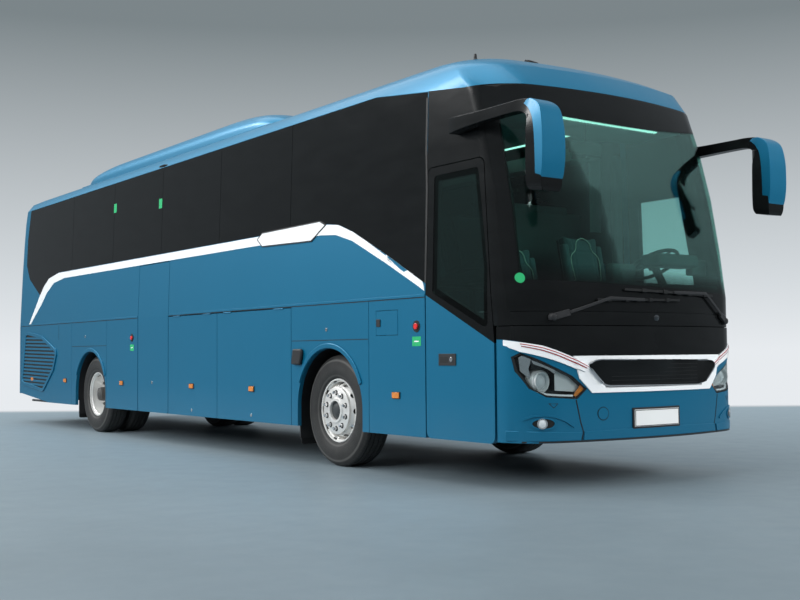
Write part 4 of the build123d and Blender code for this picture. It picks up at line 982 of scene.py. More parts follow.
class COACH_OT_nose(bpy.types.Operator):
    """Fills the grille, and adds the plate's holder, the towing cover and the bumper's joints"""

    bl_idname = "coach.nose"
    bl_label = "Nose"

    def execute(self, context):
        bumper, grille = skin("front_bumper"), skin("front_grille")
        opening = inset(GRILLE_OPENING, -0.012)

        def add(name, outlines, surface, finish, slot, lift, thick, edge=0.0, both=False, step=0.12):
            plated(name, outlines, FRONT_WAY, surface, finish, slot, both, step, lift, thick,
                   look=0.0 if surface is grille else 0.012, edge=edge)

        add("grille_bed", [inset(GRILLE_OPENING, 0.003)], grille, "gasket", "black_plastic", -0.004, 0.018, 0.003)
        add("grille_panel", [rounded(opening, 0.07)], grille, "black_lacquer", "black_panel", 0.018, 0.008, 0.003)
        add("grille_lip", [band(rounded(opening, 0.07), 0.008, closed=True)], grille, "bright_metal", "white_paint",
            0.018, 0.01, 0.002)
        add("grille_slots", [rectangle(-0.5, 0.5, 0.8 + 0.03 * n, 0.803 + 0.03 * n) for n in range(6)], grille,
            "gasket", "black_plastic", 0.0255, 0.0015)
        add("plate_holder", [rectangle(-0.295, 0.245, 0.452, 0.615)], bumper, "plastic", "black_plastic", 0.0, 0.012,
            0.004, step=0.3)
        add("front_plate", [rectangle(-0.28, 0.23, 0.467, 0.6)], bumper, "plate_white", "white_paint", 0.009, 0.006,
            0.002, step=0.3)
        add("plate_rim", [band(rectangle(-0.274, 0.224, 0.473, 0.594), 0.005, closed=True)], bumper, "gasket",
            "black_plastic", 0.0145, 0.0015, step=0.3)
        add("tow_cover", [circle(-0.584, 0.58, 0.047)], bumper, "body_paint", "body_paint", 0.0, 0.004, 0.0015)
        add("tow_cover_joint", [band(circle(-0.584, 0.58, 0.05), 0.004, closed=True)], bumper, "gasket",
            "black_plastic", 0.0, 0.002)
        seam = ((-0.83, 0.69), (-0.79, 0.513), (-0.768, 0.447), (-0.785, 0.383))
        add("bumper_joints", [band(seam, 0.009), band(
            ((-1.05, 0.666), (-0.987, 0.665), (-1.016, 0.633)), 0.004, closed=True)], bumper, "gasket",
            "black_plastic", 0.0, 0.0015, both=True)
        add("bumper_crease", [strip(((-0.76, 0.45), (-0.3, 0.458), (0.3, 0.458), (0.76, 0.45)),
                                    ((-0.772, 0.385), (-0.3, 0.385), (0.3, 0.385), (0.772, 0.385)))], bumper,
            "body_paint", "body_paint", 0.0, 0.009, 0.004)
        add("corner_crease", [strip(((-1.262, 0.462), (-1.1, 0.458), (-0.95, 0.452), (-0.785, 0.446)),
                                    ((-1.262, 0.385), (-1.1, 0.385), (-0.95, 0.385), (-0.8, 0.385)))], bumper,
            "body_paint", "body_paint", 0.0, 0.009, 0.004, both=True)
        add("lip_spoiler", [strip(((-1.2, 0.384), (-0.6, 0.384), (0.0, 0.384), (0.6, 0.384), (1.2, 0.384)),
                                  ((-1.2, 0.372), (-0.6, 0.372), (0.0, 0.372), (0.6, 0.372), (1.2, 0.372)))], bumper,
            "plastic", "black_plastic", 0.0, 0.006)
        self.camera_dome()
        return {"FINISHED"}

    def camera_dome(self):
        """The camera dome below the screen."""
        hit, normal = met(skin("front_frame", "front_bumper", "windscreen"), FRONT_WAY, 0.0, 1.317)
        bm = bmesh.new()
        turned(bm, [(0.0, 0.018), (0.01, 0.017), (0.02, 0.01), (0.026, 0.006), (0.03, -0.004)], hit, normal, 28)
        piece("nose_camera", bm, "screen", "black_plastic")


# ---- mirrors and wipers ----

class COACH_OT_mirrors(bpy.types.Operator):
    """Builds both mirrors: curved arms, housings, painted covers and their glasses"""

    bl_idname = "coach.mirrors"
    bl_label = "Mirrors"

    def execute(self, context):
        def section(x, y, z, across, ahead, up):
            return at(x, y, z), (0, across, 0), (ahead, 0, up)

        bm = bmesh.new()
        swept(bm, [section(5.172, -1.27, 2.867, 0.06, 0, 0.062), section(5.3, -1.3, 2.866, 0.055, 0, 0.056),
                   section(5.55, -1.325, 2.866, 0.046, 0, 0.046), section(5.9, -1.332, 2.87, 0.044, 0, 0.042),
                   section(6.06, -1.33, 2.866, 0.05, 0.008, 0.044), section(6.17, -1.325, 2.835, 0.068, 0.03, 0.05),
                   section(6.235, -1.32, 2.765, 0.092, 0.062, 0.034),
                   section(6.25, -1.316, 2.66, 0.106, 0.078, 0.006), section(6.253, -1.315, 2.5, 0.11, 0.082, 0),
                   section(6.252, -1.315, 2.36, 0.11, 0.082, 0), section(6.25, -1.315, 2.26, 0.102, 0.08, -0.006),
                   section(6.252, -1.315, 2.215, 0.084, 0.068, -0.01)], 6)
        flipped(bm)
        arms = piece("mirror_housings", bm, "black_lacquer", "black_plastic", edge=0.024, sharp=60.0,
                     segments=5)
        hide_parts("mirror_right", "mirror_left")
        bm = bmesh.new()
        swept(bm, [section(6.12, -1.327, 2.884, 0.055, 0.012, 0.01), section(6.2, -1.322, 2.856, 0.082, 0.02, 0.03),
                   section(6.275, -1.319, 2.79, 0.1, 0.042, 0.03), section(6.306, -1.317, 2.68, 0.111, 0.046, 0.006),
                   section(6.315, -1.316, 2.54, 0.114, 0.043, 0), section(6.314, -1.316, 2.42, 0.113, 0.04, 0),
                   section(6.304, -1.316, 2.325, 0.108, 0.034, -0.008),
                   section(6.296, -1.316, 2.29, 0.096, 0.026, -0.008)], 6)
        flipped(bm)
        piece("mirror_covers", bm, "body_paint", "body_paint", edge=0.026, sharp=60.0, segments=5)
        glass, rims = bmesh.new(), bmesh.new()
        for z0, z1 in ((2.47, 2.77), (2.265, 2.43)):
            block(rims, (6.165, -1.41, z0 - 0.012), (6.19, -1.22, z1 + 0.012), 0.01, 3)
            block(glass, (6.1635, -1.4, z0), (6.168, -1.23, z1), 0.0015)
        for name, bm, finish in (("mirror_rims", rims, "plastic"), ("mirror_glasses", glass, "mirror_glass")):
            flipped(bm)
            piece(name, bm, finish, "black_plastic")
        return {"FINISHED"}


WIPERS = (((-1.02, 1.315), (-0.51, 1.453), (0.27, 1.463)), ((0.98, 1.305), (0.64, 1.513), (-0.36, 1.533)))


class COACH_OT_wipers(bpy.types.Operator):
    """Builds both wipers at rest: caps over the pivots, cranked arms and long blades"""

    bl_idname = "coach.wipers"
    bl_label = "Wipers"

    def execute(self, context):
        surface = skin("windscreen", "front_frame", "front_bumper")
        arms, blades, caps = bmesh.new(), bmesh.new(), bmesh.new()
        for pivot, elbow, tip in WIPERS:
            run = Vector(tip) - Vector(elbow)
            heel = Vector(elbow) - run.normalized() * 0.12
            middle = tuple(Vector(elbow) + run * 0.45)
            knee = tuple(Vector(pivot).lerp(Vector(elbow), 0.27))
            laid(arms, band((pivot, knee), 0.05), FRONT_WAY, surface, step=0.1, lift=0.004, thick=0.026)
            laid(arms, band((knee, tuple(Vector(elbow) + Vector((0, 0.012))), middle), 0.024), FRONT_WAY, surface,
                 step=0.1, lift=0.022, thick=0.01)
            laid(blades, band((tuple(heel), tip), 0.011), FRONT_WAY, surface, step=0.1, lift=0.001, thick=0.018)
            laid(blades, band((tuple(heel), tip), 0.02), FRONT_WAY, surface, step=0.1, lift=0.014, thick=0.009)
            for share in (0.12, 0.32, 0.45, 0.6, 0.82):
                clip = Vector(heel).lerp(Vector(tip), share)
                laid(blades, band((tuple(clip - run * 0.025), tuple(clip + run * 0.025)), 0.028), FRONT_WAY, surface,
                     lift=0.008, thick=0.022)
            turned(caps, [(0.0, 0.044), (0.014, 0.042), (0.026, 0.034), (0.031, 0.02), (0.032, -0.004)],
                   met(surface, FRONT_WAY, *pivot)[0], FRONT_WAY, 32)
        made = piece("wiper_arms", arms, "plastic", "black_plastic", edge=0.004)
        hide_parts("wipers")
        piece("wiper_blades", blades, "gasket", "rubber", edge=0.002)
        piece("wiper_caps", caps, "plastic", "black_plastic")
        return {"FINISHED"}


# ---- wheels ----

TYRE_SIDE = ((0.285, 0.1), (0.3, 0.1005), (0.3, 0.114), (0.318, 0.128), (0.345, 0.1445), (0.385, 0.149),
             (0.42, 0.1485), (0.46, 0.142), (0.48, 0.136), (0.497, 0.126), (0.509, 0.116), (0.516, 0.103),
             (0.5195, 0.088))
GROOVES = ((0.078, 0.067), (0.032, 0.021))
RIM_SIDE = ((0.27, 0.09), (0.28, 0.1), (0.2835, 0.1), (0.284, 0.1165), (0.289, 0.1185), (0.2965, 0.1185),
            (0.2985, 0.112), (0.2985, 0.103), (0.2838, 0.0985), (0.283, -0.0985), (0.2985, -0.103), (0.2985, -0.114),
            (0.29, -0.116), (0.278, -0.1), (0.268, -0.06))
DISC = {"front": ((0.25, 0.006), (0.226, 0.05), (0.212, 0.12), (0.2, 0.124), (0.088, 0.125), (0.088, 0.15),
                  (0.092, 0.16), (0.112, 0.158), (0.118, 0.146), (0.125, 0.143), (0.213, 0.143), (0.219, 0.14),
                  (0.221, 0.13), (0.222, 0.118), (0.236, 0.105), (0.256, 0.05), (0.264, 0.03)),
        "rear": ((0.262, -0.04), (0.245, -0.13), (0.21, -0.15), (0.12, -0.15), (0.12, -0.14), (0.212, -0.14),
                 (0.225, -0.134), (0.235, -0.12), (0.25, -0.02), (0.266, 0.02))}
WHEELS = (("front_wheel", FRONT_AXLE, (OUTER_TRACK,)), ("rear_wheels", REAR_AXLE, (OUTER_TRACK, INNER_TRACK)))


class COACH_OT_wheels(bpy.types.Operator):
    """Builds tyres with tread grooves, rims with hand holes, nuts, hub caps and valves"""

    bl_idname = "coach.wheels"
    bl_label = "Wheels"

    def tyre(self, depth):
        """Profile of a tyre: radius and distance from its middle."""
        half = list(TYRE_SIDE)
        for outer, inner in GROOVES:
            floor = TYRE_RADIUS - depth
            half += [(0.5197, outer), (floor, outer - 0.002), (floor, inner + 0.002), (0.5199, inner)]
        return half + [(r, -w) for r, w in reversed(half)]

    def execute(self, context):
        wheels = context.scene.coach_wheels
        for base, station, tracks in WHEELS:
            front = base == "front_wheel"
            for side in (RIGHT, LEFT):
                body, word = base + "_" + side_name(side), ("front_" if front else "rear_") + side_name(side)
                axle, axis = at(station, 0, TYRE_RADIUS), Vector((0, side, 0))
                bm = bmesh.new()
                for track in tracks:
                    turned(bm, self.tyre(wheels.groove), axle + axis * track, axis, 96, closed=True)
                tyres = piece("tyre_" + word, bm, "front_tyre" if front else "rear_tyre", "rubber", body)
                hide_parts(("front_tyre_" if front else "rear_tyres_") + side_name(side))
                self.rim(wheels, body, word, axle, axis, tracks)
                self.dress(wheels, body, word, axle + axis * OUTER_TRACK, axis, front)
        return {"FINISHED"}

    def rim(self, wheels, body, word, axle, axis, tracks):
        """Rims with their discs; the outer disc has hand holes cut through its cone."""
        kind = word.split("_")[0]
        bm, cut, hole = bmesh.new(), bmesh.new(), bmesh.new()
        for number, track in enumerate(tracks):
            turned(bm, [*RIM_SIDE, *DISC[kind]] if not number else [*RIM_SIDE, (0.262, 0.0)], axle + axis * track,
                   axis, 80, closed=True)
        middle = axle + axis * OUTER_TRACK
        made = piece("rim_" + word, bm, kind + "_rim", "wheel_steel", body, sharp=32.0)
        across = Vector((0, 0, 1)).lerp(axis, 0.35).normalized()
        place = middle + Vector((0, 0, 0.24)) + axis * (0.08 if kind == "front" else -0.07)
        turned(hole, [(0.0, -0.045), (0.027, -0.045), (0.027, 0.05), (0.0, 0.05)], place, across, 20)
        ringed(cut, hole, middle, axis, wheels.nuts)
        bmesh.ops.rotate(cut, verts=cut.verts[:], cent=middle, matrix=Matrix.Rotation(math.pi / wheels.nuts, 3, axis))
        mesh = bpy.data.meshes.new("cutter")
        cut.to_mesh(mesh)
        cut.free()
        cutter = bpy.data.objects.new("cutter", mesh)
        bpy.context.scene.collection.objects.link(cutter)
        holes = made.modifiers.new("holes", "BOOLEAN")
        holes.object, holes.operation, holes.solver = cutter, "DIFFERENCE", "EXACT"
        bpy.context.view_layer.update()
        done = bpy.data.meshes.new_from_object(made.evaluated_get(bpy.context.evaluated_depsgraph_get()))
        made.modifiers.clear()
        made.data = done
        bpy.data.objects.remove(cutter)
        done.polygons.foreach_set("use_smooth", [True] * len(done.polygons))
        done.set_sharp_from_angle(angle=math.radians(32))
        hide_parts(("front_rim_" if kind == "front" else "rear_rims_") + word.split("_")[1])

    def dress(self, wheels, body, word, middle, axis, front):
        """Nuts on the disc, each over a flat dark disc of painted shade standing in for its recess, a hub cap and a
        ring round it.
        """
        face = 0.143 if front else -0.14
        nuts, nut = bmesh.new(), bmesh.new()
        place = middle + Vector((0, 0, wheels.nut_circle))
        # painted shade: flat dark discs under the nuts stand in for the shade inside their recesses
        painted_shade_discs, painted_shade_disc = bmesh.new(), bmesh.new()
        turned(painted_shade_disc, [(0.0, face - 0.004), (0.026, face - 0.004), (0.026, face + 0.001), (0.0, face + 0.001)], place,
               axis, 20)
        ringed(painted_shade_discs, painted_shade_disc, middle, axis, wheels.nuts)
        piece("nut_wells_" + word, painted_shade_discs, "gasket", "black_plastic", body)
        turned(nut, [(0.017, face + 0.004), (0.016, face + 0.028), (0.013, face + 0.034), (0.0, face + 0.034)],
               place, axis, 6)
        ringed(nuts, nut, middle, axis, wheels.nuts)
        piece("wheel_nuts_" + word, nuts, "bright_metal", "wheel_steel", body)
        caps = bmesh.new()
        tip, root = (0.152, 0.12) if front else (0.112, -0.14)
        turned(caps, [(0.0, tip), (0.03, tip - 0.001), (0.055, tip - 0.007), (0.07, tip - 0.016), (0.087, tip - 0.02),
                      (0.089, tip - 0.03), (0.096 if front else 0.115, root), (0.0, root)], middle, axis, 48)
        piece("hub_cap_" + word, caps, "dark_trim" if front else "cast_iron", "black_plastic", body)
        valve = bmesh.new()
        tube(valve, [middle + Vector((0.04, 0, 0.255)) + axis * 0.09, middle + Vector((0.04, 0, 0.25)) + axis * 0.12,
                     middle + Vector((0.042, 0, 0.235)) + axis * 0.135], 0.004)
        piece("valve_" + word, valve, "gasket", "rubber", body)


# ---- seats ----

ROWS = {RIGHT: (0, 1, 2, 3, 4, 7, 8, 9, 10, 11), LEFT: tuple(range(12))}
FIRST_ROW, PITCH = 3.8175, 0.78
BENCH_LEAN, CAB_LEAN = 0.27, 0.2   # radians that the backs lean


def pad_shape(size):
    """A cushion's starting shape round the origin: a rounded block whose sides draw in between its corners."""
    bm = bmesh.new()
    bmesh.ops.create_cube(bm, size=1.0)
    bmesh.ops.subdivide_edges(bm, edges=bm.edges[:], cuts=7, use_grid_fill=True)
    for v in bm.verts:
        a, b = (v.co * 2).xy
        pull = 1 - 0.06 * ((1 - a * a) * b * b + (1 - b * b) * a * a)
        crown = 1 + 0.22 * (1 - a * a) * (1 - b * b)
        v.co = Vector((v.co.x * pull * size[0], v.co.y * pull * size[1], v.co.z * crown * size[2] * 0.9))
    bmesh.ops.bevel(bm, geom=[e for e in bm.edges if e.calc_face_angle(0) > 1.2], offset=min(size) * 0.22, segments=3,
                    profile=0.5, material=-1, affect="EDGES")
    return bm


def plumped(pads, pressure, cap):
    """Fills pads by a cloth simulation, all in one run, and gives back their meshes. No point moves more than cap."""
    holders = []
    for name, (bm, voxel) in pads.items():
        mesh = bpy.data.meshes.new(name)
        bm.to_mesh(mesh)
        bm.free()
        holder = bpy.data.objects.new(name, mesh)
        bpy.context.scene.collection.objects.link(holder)
        remesh = holder.modifiers.new("even", "REMESH")
        remesh.mode, remesh.voxel_size = "VOXEL", voxel
        holders.append(holder)
    bpy.context.view_layer.update()
    for holder in holders:
        holder.data = bpy.data.meshes.new_from_object(holder.evaluated_get(bpy.context.evaluated_depsgraph_get()))
        holder.modifiers.clear()
        cloth = holder.modifiers.new("fill", "CLOTH")
        cloth.settings.quality = 5
        cloth.settings.use_pressure, cloth.settings.uniform_pressure_force = True, pressure
        cloth.settings.effector_weights.gravity = 0.0
    for moment in range(1, 21):
        bpy.context.scene.frame_set(moment)
    graph, made = bpy.context.evaluated_depsgraph_get(), {}
    for holder in holders:
        mesh = bpy.data.meshes.new_from_object(holder.evaluated_get(graph))
        for before, after in zip(holder.data.vertices, mesh.vertices):
            step = after.co - before.co
            after.co = before.co + step * min(1.0, cap / max(step.length, 1e-9))
        made[holder.name] = mesh
        bpy.data.objects.remove(holder)
    bpy.context.scene.frame_set(1)
    return made


def channelled(mesh, across, along):
    """Presses sewn channels, 6 mm deep, into a pad's upper face: at places across it and along it."""
    for v in mesh.vertices:
        if v.co.z < 0:
            continue
        gap = min([abs(v.co.y - line) for line in along] + [abs(v.co.x - line) for line in across])
        v.co.z -= 0.006 * math.exp(-(gap / 0.009) ** 2)


def leaning(place, lean):
    """Turns a pad made flat into a back rest: its upper face forward, its front edge up."""
    return Matrix.Translation(place) @ Matrix.Rotation(math.pi / 2 - lean, 4, "Y")


def board(bm, size, matrix, segments):
    """Adds a board with rounded edges, turned and placed by a matrix."""
    made = bmesh.new()
    bmesh.ops.create_cube(made, size=1.0)
    bmesh.ops.scale(made, vec=size, verts=made.verts[:])
    bmesh.ops.bevel(made, geom=made.edges[:], offset=0.012, segments=segments, profile=0.5, material=-1,
                    affect="EDGES")
    bmesh.ops.transform(made, matrix=matrix, verts=made.verts[:])
    join(bm, made)


class COACH_OT_seats(bpy.types.Operator):
    """Builds the passengers' benches, the driver's and the guide's seats with filled pads"""

    bl_idname = "coach.seats"
    bl_label = "Seats"

    def execute(self, context):
        seats = context.scene.coach_seats
        pads = plumped({
            "bench_cushion": (pad_shape((0.44, 0.4, 0.1)), 0.02),
            "bench_back": (pad_shape((0.6, 0.4, 0.075)), 0.02),
            "cab_cushion": (pad_shape((0.47, 0.45, 0.115)), 0.012),
            "cab_back": (pad_shape((0.62, 0.45, 0.1)), 0.012),
            "cab_bolster": (pad_shape((0.5, 0.075, 0.085)), 0.012),
        }, seats.pressure, cap=0.012)
        channelled(pads["bench_back"], (-0.16, 0.12), ())
        channelled(pads["bench_cushion"], (-0.08, 0.08), ())
        channelled(pads["cab_back"], (-0.15, 0.0, 0.14), (-0.12, 0.12))
        channelled(pads["cab_cushion"], (0.1,), (-0.12, 0.12))
        self.benches(pads)
        self.cab(pads, seats)
        return {"FINISHED"}

    def place(self, bm, mesh, matrix):
        start = len(bm.verts)
        bm.from_mesh(mesh)
        bm.verts.ensure_lookup_table()
        bmesh.ops.transform(bm, matrix=matrix, verts=bm.verts[start:])

    def benches(self, pads):
        """One bench pair for each row: pads on a shell with legs and arm rests."""
        for side in (RIGHT, LEFT):
            word = side_name(side)
            cushions, backs, shells, arms = (bmesh.new() for _ in range(4))
            for row in ROWS[side]:
                front = FIRST_ROW - PITCH * row
                for middle in (0.465, 0.915):
                    y = middle * side
                    self.place(cushions, pads["bench_cushion"], Matrix.Translation(at(front - 0.235, y, 1.822)))
                    self.place(backs, pads["bench_back"], leaning(at(front - 0.512, y, 2.175), BENCH_LEAN))
                    block(shells, (front - 0.46, y - 0.19, 1.745), (front - 0.03, y + 0.19, 1.775), 0.012)
                    board(shells, (0.62, 0.4, 0.03), leaning(at(front - 0.558, y, 2.163), BENCH_LEAN), 2)
                    grip = [at(front - 0.638, y + o, z) for o, z in ((-0.12, 2.43), (-0.11, 2.475), (0.11, 2.475),
                                                                     (0.12, 2.43))]
                    tube(arms, grip, 0.009)
                for y in (0.26, 0.69, 1.12):
                    tube(arms, [at(front - 0.5, y * side, 1.86), at(front - 0.4, y * side, 1.99),
                                at(front - 0.1, y * side, 1.985)], 0.013)
                for y in (0.46, 0.9):
                    block(shells, (front - 0.3, y * side - 0.02, 1.42), (front - 0.24, y * side + 0.02, 1.75), 0.008)
                    block(shells, (front - 0.4, y * side - 0.03, 1.42), (front - 0.12, y * side + 0.03, 1.44), 0.006)
                inner, outer = sorted((0.3 * side, 1.1 * side))
                block(shells, (front - 0.3, inner, 1.72), (front - 0.24, outer, 1.75), 0.006)
            frame = piece("bench_shells_" + word, shells, "plastic", "interior_plastic")
            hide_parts("passenger_seats_" + word)
            piece("bench_arms_" + word, arms, "dark_trim", "interior_plastic")
            for name, bm in (("bench_cushions_", cushions), ("bench_backs_", backs)):
                piece(name + word, bm, "seat_cloth", "seat_cloth", sharp=60.0)

    def cab(self, pads, seats):
        """The driver's seat on its sprung base and the guide's folding seat."""
        bases, cushions, backs, piping = (bmesh.new() for _ in range(4))
        for y, low, back_z in ((0.65, 1.4, 1.825), (-0.17, 1.33, 1.68)):
            wide = 1.0 if y > 0 else 0.84
            fit = Matrix.Diagonal((1.0, wide, 1.0, 1.0))
            self.place(cushions, pads["cab_cushion"], Matrix.Translation(at(4.96, y, low)) @ fit)
            turn = leaning(at(4.67, y, back_z), CAB_LEAN)
            self.place(backs, pads["cab_back"], turn @ fit)
            for edge in (-0.215, 0.215):
                self.place(backs, pads["cab_bolster"], leaning(at(4.7, y + edge * wide, back_z - 0.02), CAB_LEAN))
                self.place(cushions, pads["cab_bolster"], Matrix.Translation(at(4.95, y + edge * wide, low + 0.015)))
            block(bases, (4.74, y - 0.17, 1.0), (5.1, y + 0.17, 1.05), 0.015)
            block(bases, (4.78, y - 0.13, 1.05), (5.06, y + 0.13, low - 0.06), 0.02)
            block(bases, (4.72, y - 0.2, low - 0.075), (5.16, y + 0.2, low - 0.04), 0.012)
            board(bases, (0.6, 0.42 * wide, 0.03), leaning(at(4.615, y, back_z - 0.02), CAB_LEAN), 3)
            line = ((-0.24, -0.15), (-0.1, -0.17), (0.06, -0.19), (0.12, -0.17), (0.16, -0.1), (0.25, -0.09),
                    (0.29, 0.0), (0.25, 0.09), (0.16, 0.1), (0.12, 0.17), (0.06, 0.19), (-0.1, 0.17), (-0.24, 0.15))
            tube(piping, [turn @ Vector((-up, o * wide, 0.064)) for up, o in line], seats.piping)
        frame = piece("cab_seat_bases", bases, "plastic", "interior_plastic")
        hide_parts("front_seats")
        piece("cab_seat_piping", piping, "thread", "seat_cloth")
        for name, bm in (("cab_seat_cushions", cushions), ("cab_seat_backs", backs)):
            made = piece(name, bm, "seat_cloth", "seat_cloth", smooth=1)


# ---- cab ----

class COACH_OT_cab(bpy.types.Operator):
    """Fits out the cab: screen and clocks, partition, curtain, header lights, mirror and ceiling"""

    bl_idname = "coach.cab"
    bl_label = "Cab"

    def execute(self, context):
        pale, dark, screens, lights = (bmesh.new() for _ in range(4))
        block(pale, (4.95, -1.02, 2.99), (5.56, 1.02, 3.03), 0.012)
        block(pale, (-5.85, -1.12, 3.105), (4.95, 1.12, 3.125), 0.008)
        block(lights, (5.5, -0.56, 2.978), (5.535, 0.74, 2.991), 0.005)
        for side in (RIGHT, LEFT):
            block(lights, (-5.6, side * 0.62 - 0.02, 3.097), (4.8, side * 0.62 + 0.02, 3.106), 0.004)
        block(dark, (4.18, 0.14, 1.42), (4.21, 1.12, 2.41), 0.01)
        block(dark, (4.18, 0.14, 2.39), (4.21, 0.93, 2.47), 0.01)
        block(dark, (5.6, 1.0, 1.72), (5.68, 1.19, 1.86), 0.015, 3)
        block(screens, (5.594, 1.015, 1.735), (5.602, 1.175, 1.845), 0.002)
        block(dark, (5.62, 0.4, 1.77), (5.84, 0.9, 1.88), 0.03, 4)
        block(screens, (5.612, 0.44, 1.785), (5.626, 0.86, 1.86), 0.004)
        block(dark, (5.56, 0.02, 1.5), (5.66, 0.3, 1.79), 0.02, 3)
        block(screens, (5.553, 0.06, 1.6), (5.562, 0.26, 1.74), 0.003)
        block(dark, (4.66, 1.06, 1.45), (4.74, 1.15, 2.93), 0.02)
        piece("cab_trim", dark, "dark_trim", "interior_plastic")
        piece("cab_screens", screens, "screen", "interior_plastic")
        piece("ceiling", pale, "pale_trim", "interior_plastic")
        piece("ceiling_lights", lights, "strip_light", "interior_plastic")
        mirror, glass = bmesh.new(), bmesh.new()
        block(mirror, (5.36, -0.19, 2.74), (5.39, 0.19, 2.85), 0.014, 4)
        tube(mirror, [at(5.375, 0, 2.84), at(5.385, 0, 2.92), at(5.4, 0, 3.0)], 0.009)
        block(glass, (5.353, -0.175, 2.752), (5.361, 0.175, 2.838), 0.003)
        piece("inner_mirror", mirror, "plastic", "interior_plastic")
        piece("inner_mirror_glass", glass, "mirror_glass", "interior_plastic")
        self.switches()
        self.curtain(context.scene.coach_seats)
        return {"FINISHED"}

    def switches(self):
        """Rows of rocker switches under the screen."""
        bm = bmesh.new()
        for row in range(2):
            for place in range(5):
                y = 0.07 + 0.044 * place
                block(bm, (5.55, y - 0.017, 1.53 + 0.032 * row), (5.562, y + 0.017, 1.553 + 0.032 * row), 0.004)
        piece("switches", bm, "leather", "interior_plastic")

    def curtain(self, seats):
        """A gathered curtain on a rail behind the driver's window."""
        bm, steps = bmesh.new(), seats.pleats * 12
        line = [bm.verts.new(at(4.42 + 0.021 * math.sin(2 * math.pi * seats.pleats * n / steps),
                                1.03 + 0.15 * n / steps, 2.22)) for n in range(steps + 1)]
        edges = [bm.edges.new(pair) for pair in zip(line, line[1:])]
        for _ in range(16):
            grown = bmesh.ops.extrude_edge_only(bm, edges=edges)["geom"]
            edges = [g for g in grown if isinstance(g, bmesh.types.BMEdge)]
            bmesh.ops.translate(bm, vec=(0, 0, 0.045), verts=[g for g in grown if isinstance(g, bmesh.types.BMVert)])
        middle = at(4.42, 0, 0).x
        for v in bm.verts:
            v.co.x = middle + (v.co.x - middle) * (1.0 + 0.12 * math.sin(v.co.z * 5.0))
        made = piece("driver_curtain", bm, "curtain", "seat_cloth", smooth=1)
        rail = bmesh.new()
        tube(rail, [at(4.42, 0.99, 2.952), at(4.42, 1.1, 2.953), at(4.42, 1.19, 2.952)], 0.008)
        piece("curtain_rail", rail, "zinc", "interior_plastic")


# ---- rear ----

class COACH_OT_rear(bpy.types.Operator):
    """Finishes the tail: lamp rings, plate, louvres, handle, reflectors and the high brake lamp"""

    bl_idname = "coach.rear"
    bl_label = "Tail"

    def execute(self, context):
        tail = skin("rear_wall", "rear_bumper", "tail_lamps", "engine_hatch", "rear_window")

        def add(name, outlines, finish, slot, lift, thick, edge=0.0, **more):
            plated(name, outlines, REAR_WAY, tail, finish, slot, step=0.15, lift=lift, thick=thick, edge=edge, **more)

        slats = [rectangle(-0.66, 0.66, 1.17 + 0.045 * n, 1.19 + 0.045 * n) for n in range(7)]
        for name, outlines, finish, slot, lift, thick, edge in (
                ("hatch_louvre_bed", [rounded(rectangle(-0.69, 0.69, 1.15, 1.48), 0.03)], "gasket",
                 "black_plastic", 0.0, 0.003, 0.0),
                ("hatch_louvres", slats, "body_paint", "body_paint", -0.006, 0.012, 0.004),
                ("rear_plate_holder", [rounded(rectangle(-0.28, 0.28, 0.9, 1.04), 0.012)], "plastic",
                 "black_plastic", -0.004, 0.008, 0.003),
                ("rear_plate", [rounded(rectangle(-0.26, 0.26, 0.914, 1.026), 0.01)], "plate_white",
                 "white_paint", 0.002, 0.004, 0.0015),
                ("hatch_handle", [rounded(rectangle(-0.09, 0.09, 1.075, 1.11), 0.012)], "plastic",
                 "black_plastic", -0.008, 0.014, 0.005)):
            add(name, outlines, finish, slot, lift, thick, edge, body="engine_hatch")
        rings, lens, amber, white = (bmesh.new() for _ in range(4))
        for z, pane in ((1.35, lens), (1.25, amber), (1.15, white)):
            laid(pane, circle(-1.02, z, 0.036), REAR_WAY, tail, lift=-0.002, thick=0.004)
            laid(rings, band(circle(-1.02, z, 0.041), 0.009, closed=True), REAR_WAY, tail, lift=0.0, thick=0.003)
        for name, bm, finish, slot in (("tail_lamp_rings", rings, "bright_metal", "lamp_glass"),
                                       ("brake_lenses", lens, "red_lens", "red_lens"),
                                       ("rear_indicators", amber, "amber_lens", "lamp_glass"),
                                       ("reversing_lenses", white, "lens", "lamp_glass")):
            flipped(bm)
            piece(name, bm, finish, slot)
        add("rear_reflectors", [rounded(rectangle(-1.0, -0.84, 0.6, 0.64), 0.01)], "red_lens", "red_lens", 0.0,
            0.0015, both=True)
        add("high_brake_lamp", [rounded(rectangle(-0.22, 0.22, 3.075, 3.1), 0.008)], "red_lens", "red_lens", 0.0,
            0.008, 0.002)
        add("rear_window_rubber", [band(rounded(rectangle(-0.885, 0.885, 2.16, 3.04), 0.12), 0.014, closed=True)],
            "gasket", "black_plastic", 0.0, 0.004)
        add("rear_crease", [band(((-1.1, 0.82), (-0.5, 0.8), (0.5, 0.8), (1.1, 0.82)), 0.01)], "gasket",
            "black_plastic", 0.0, 0.002)
        add("rear_stripe", [band(((-0.9, 1.62), (-0.3, 1.6), (0.3, 1.6), (0.9, 1.62)), 0.05)], "stripe",
            "white_paint", 0.0, 0.004, 0.0015)
        return {"FINISHED"}


# ---- roof ----

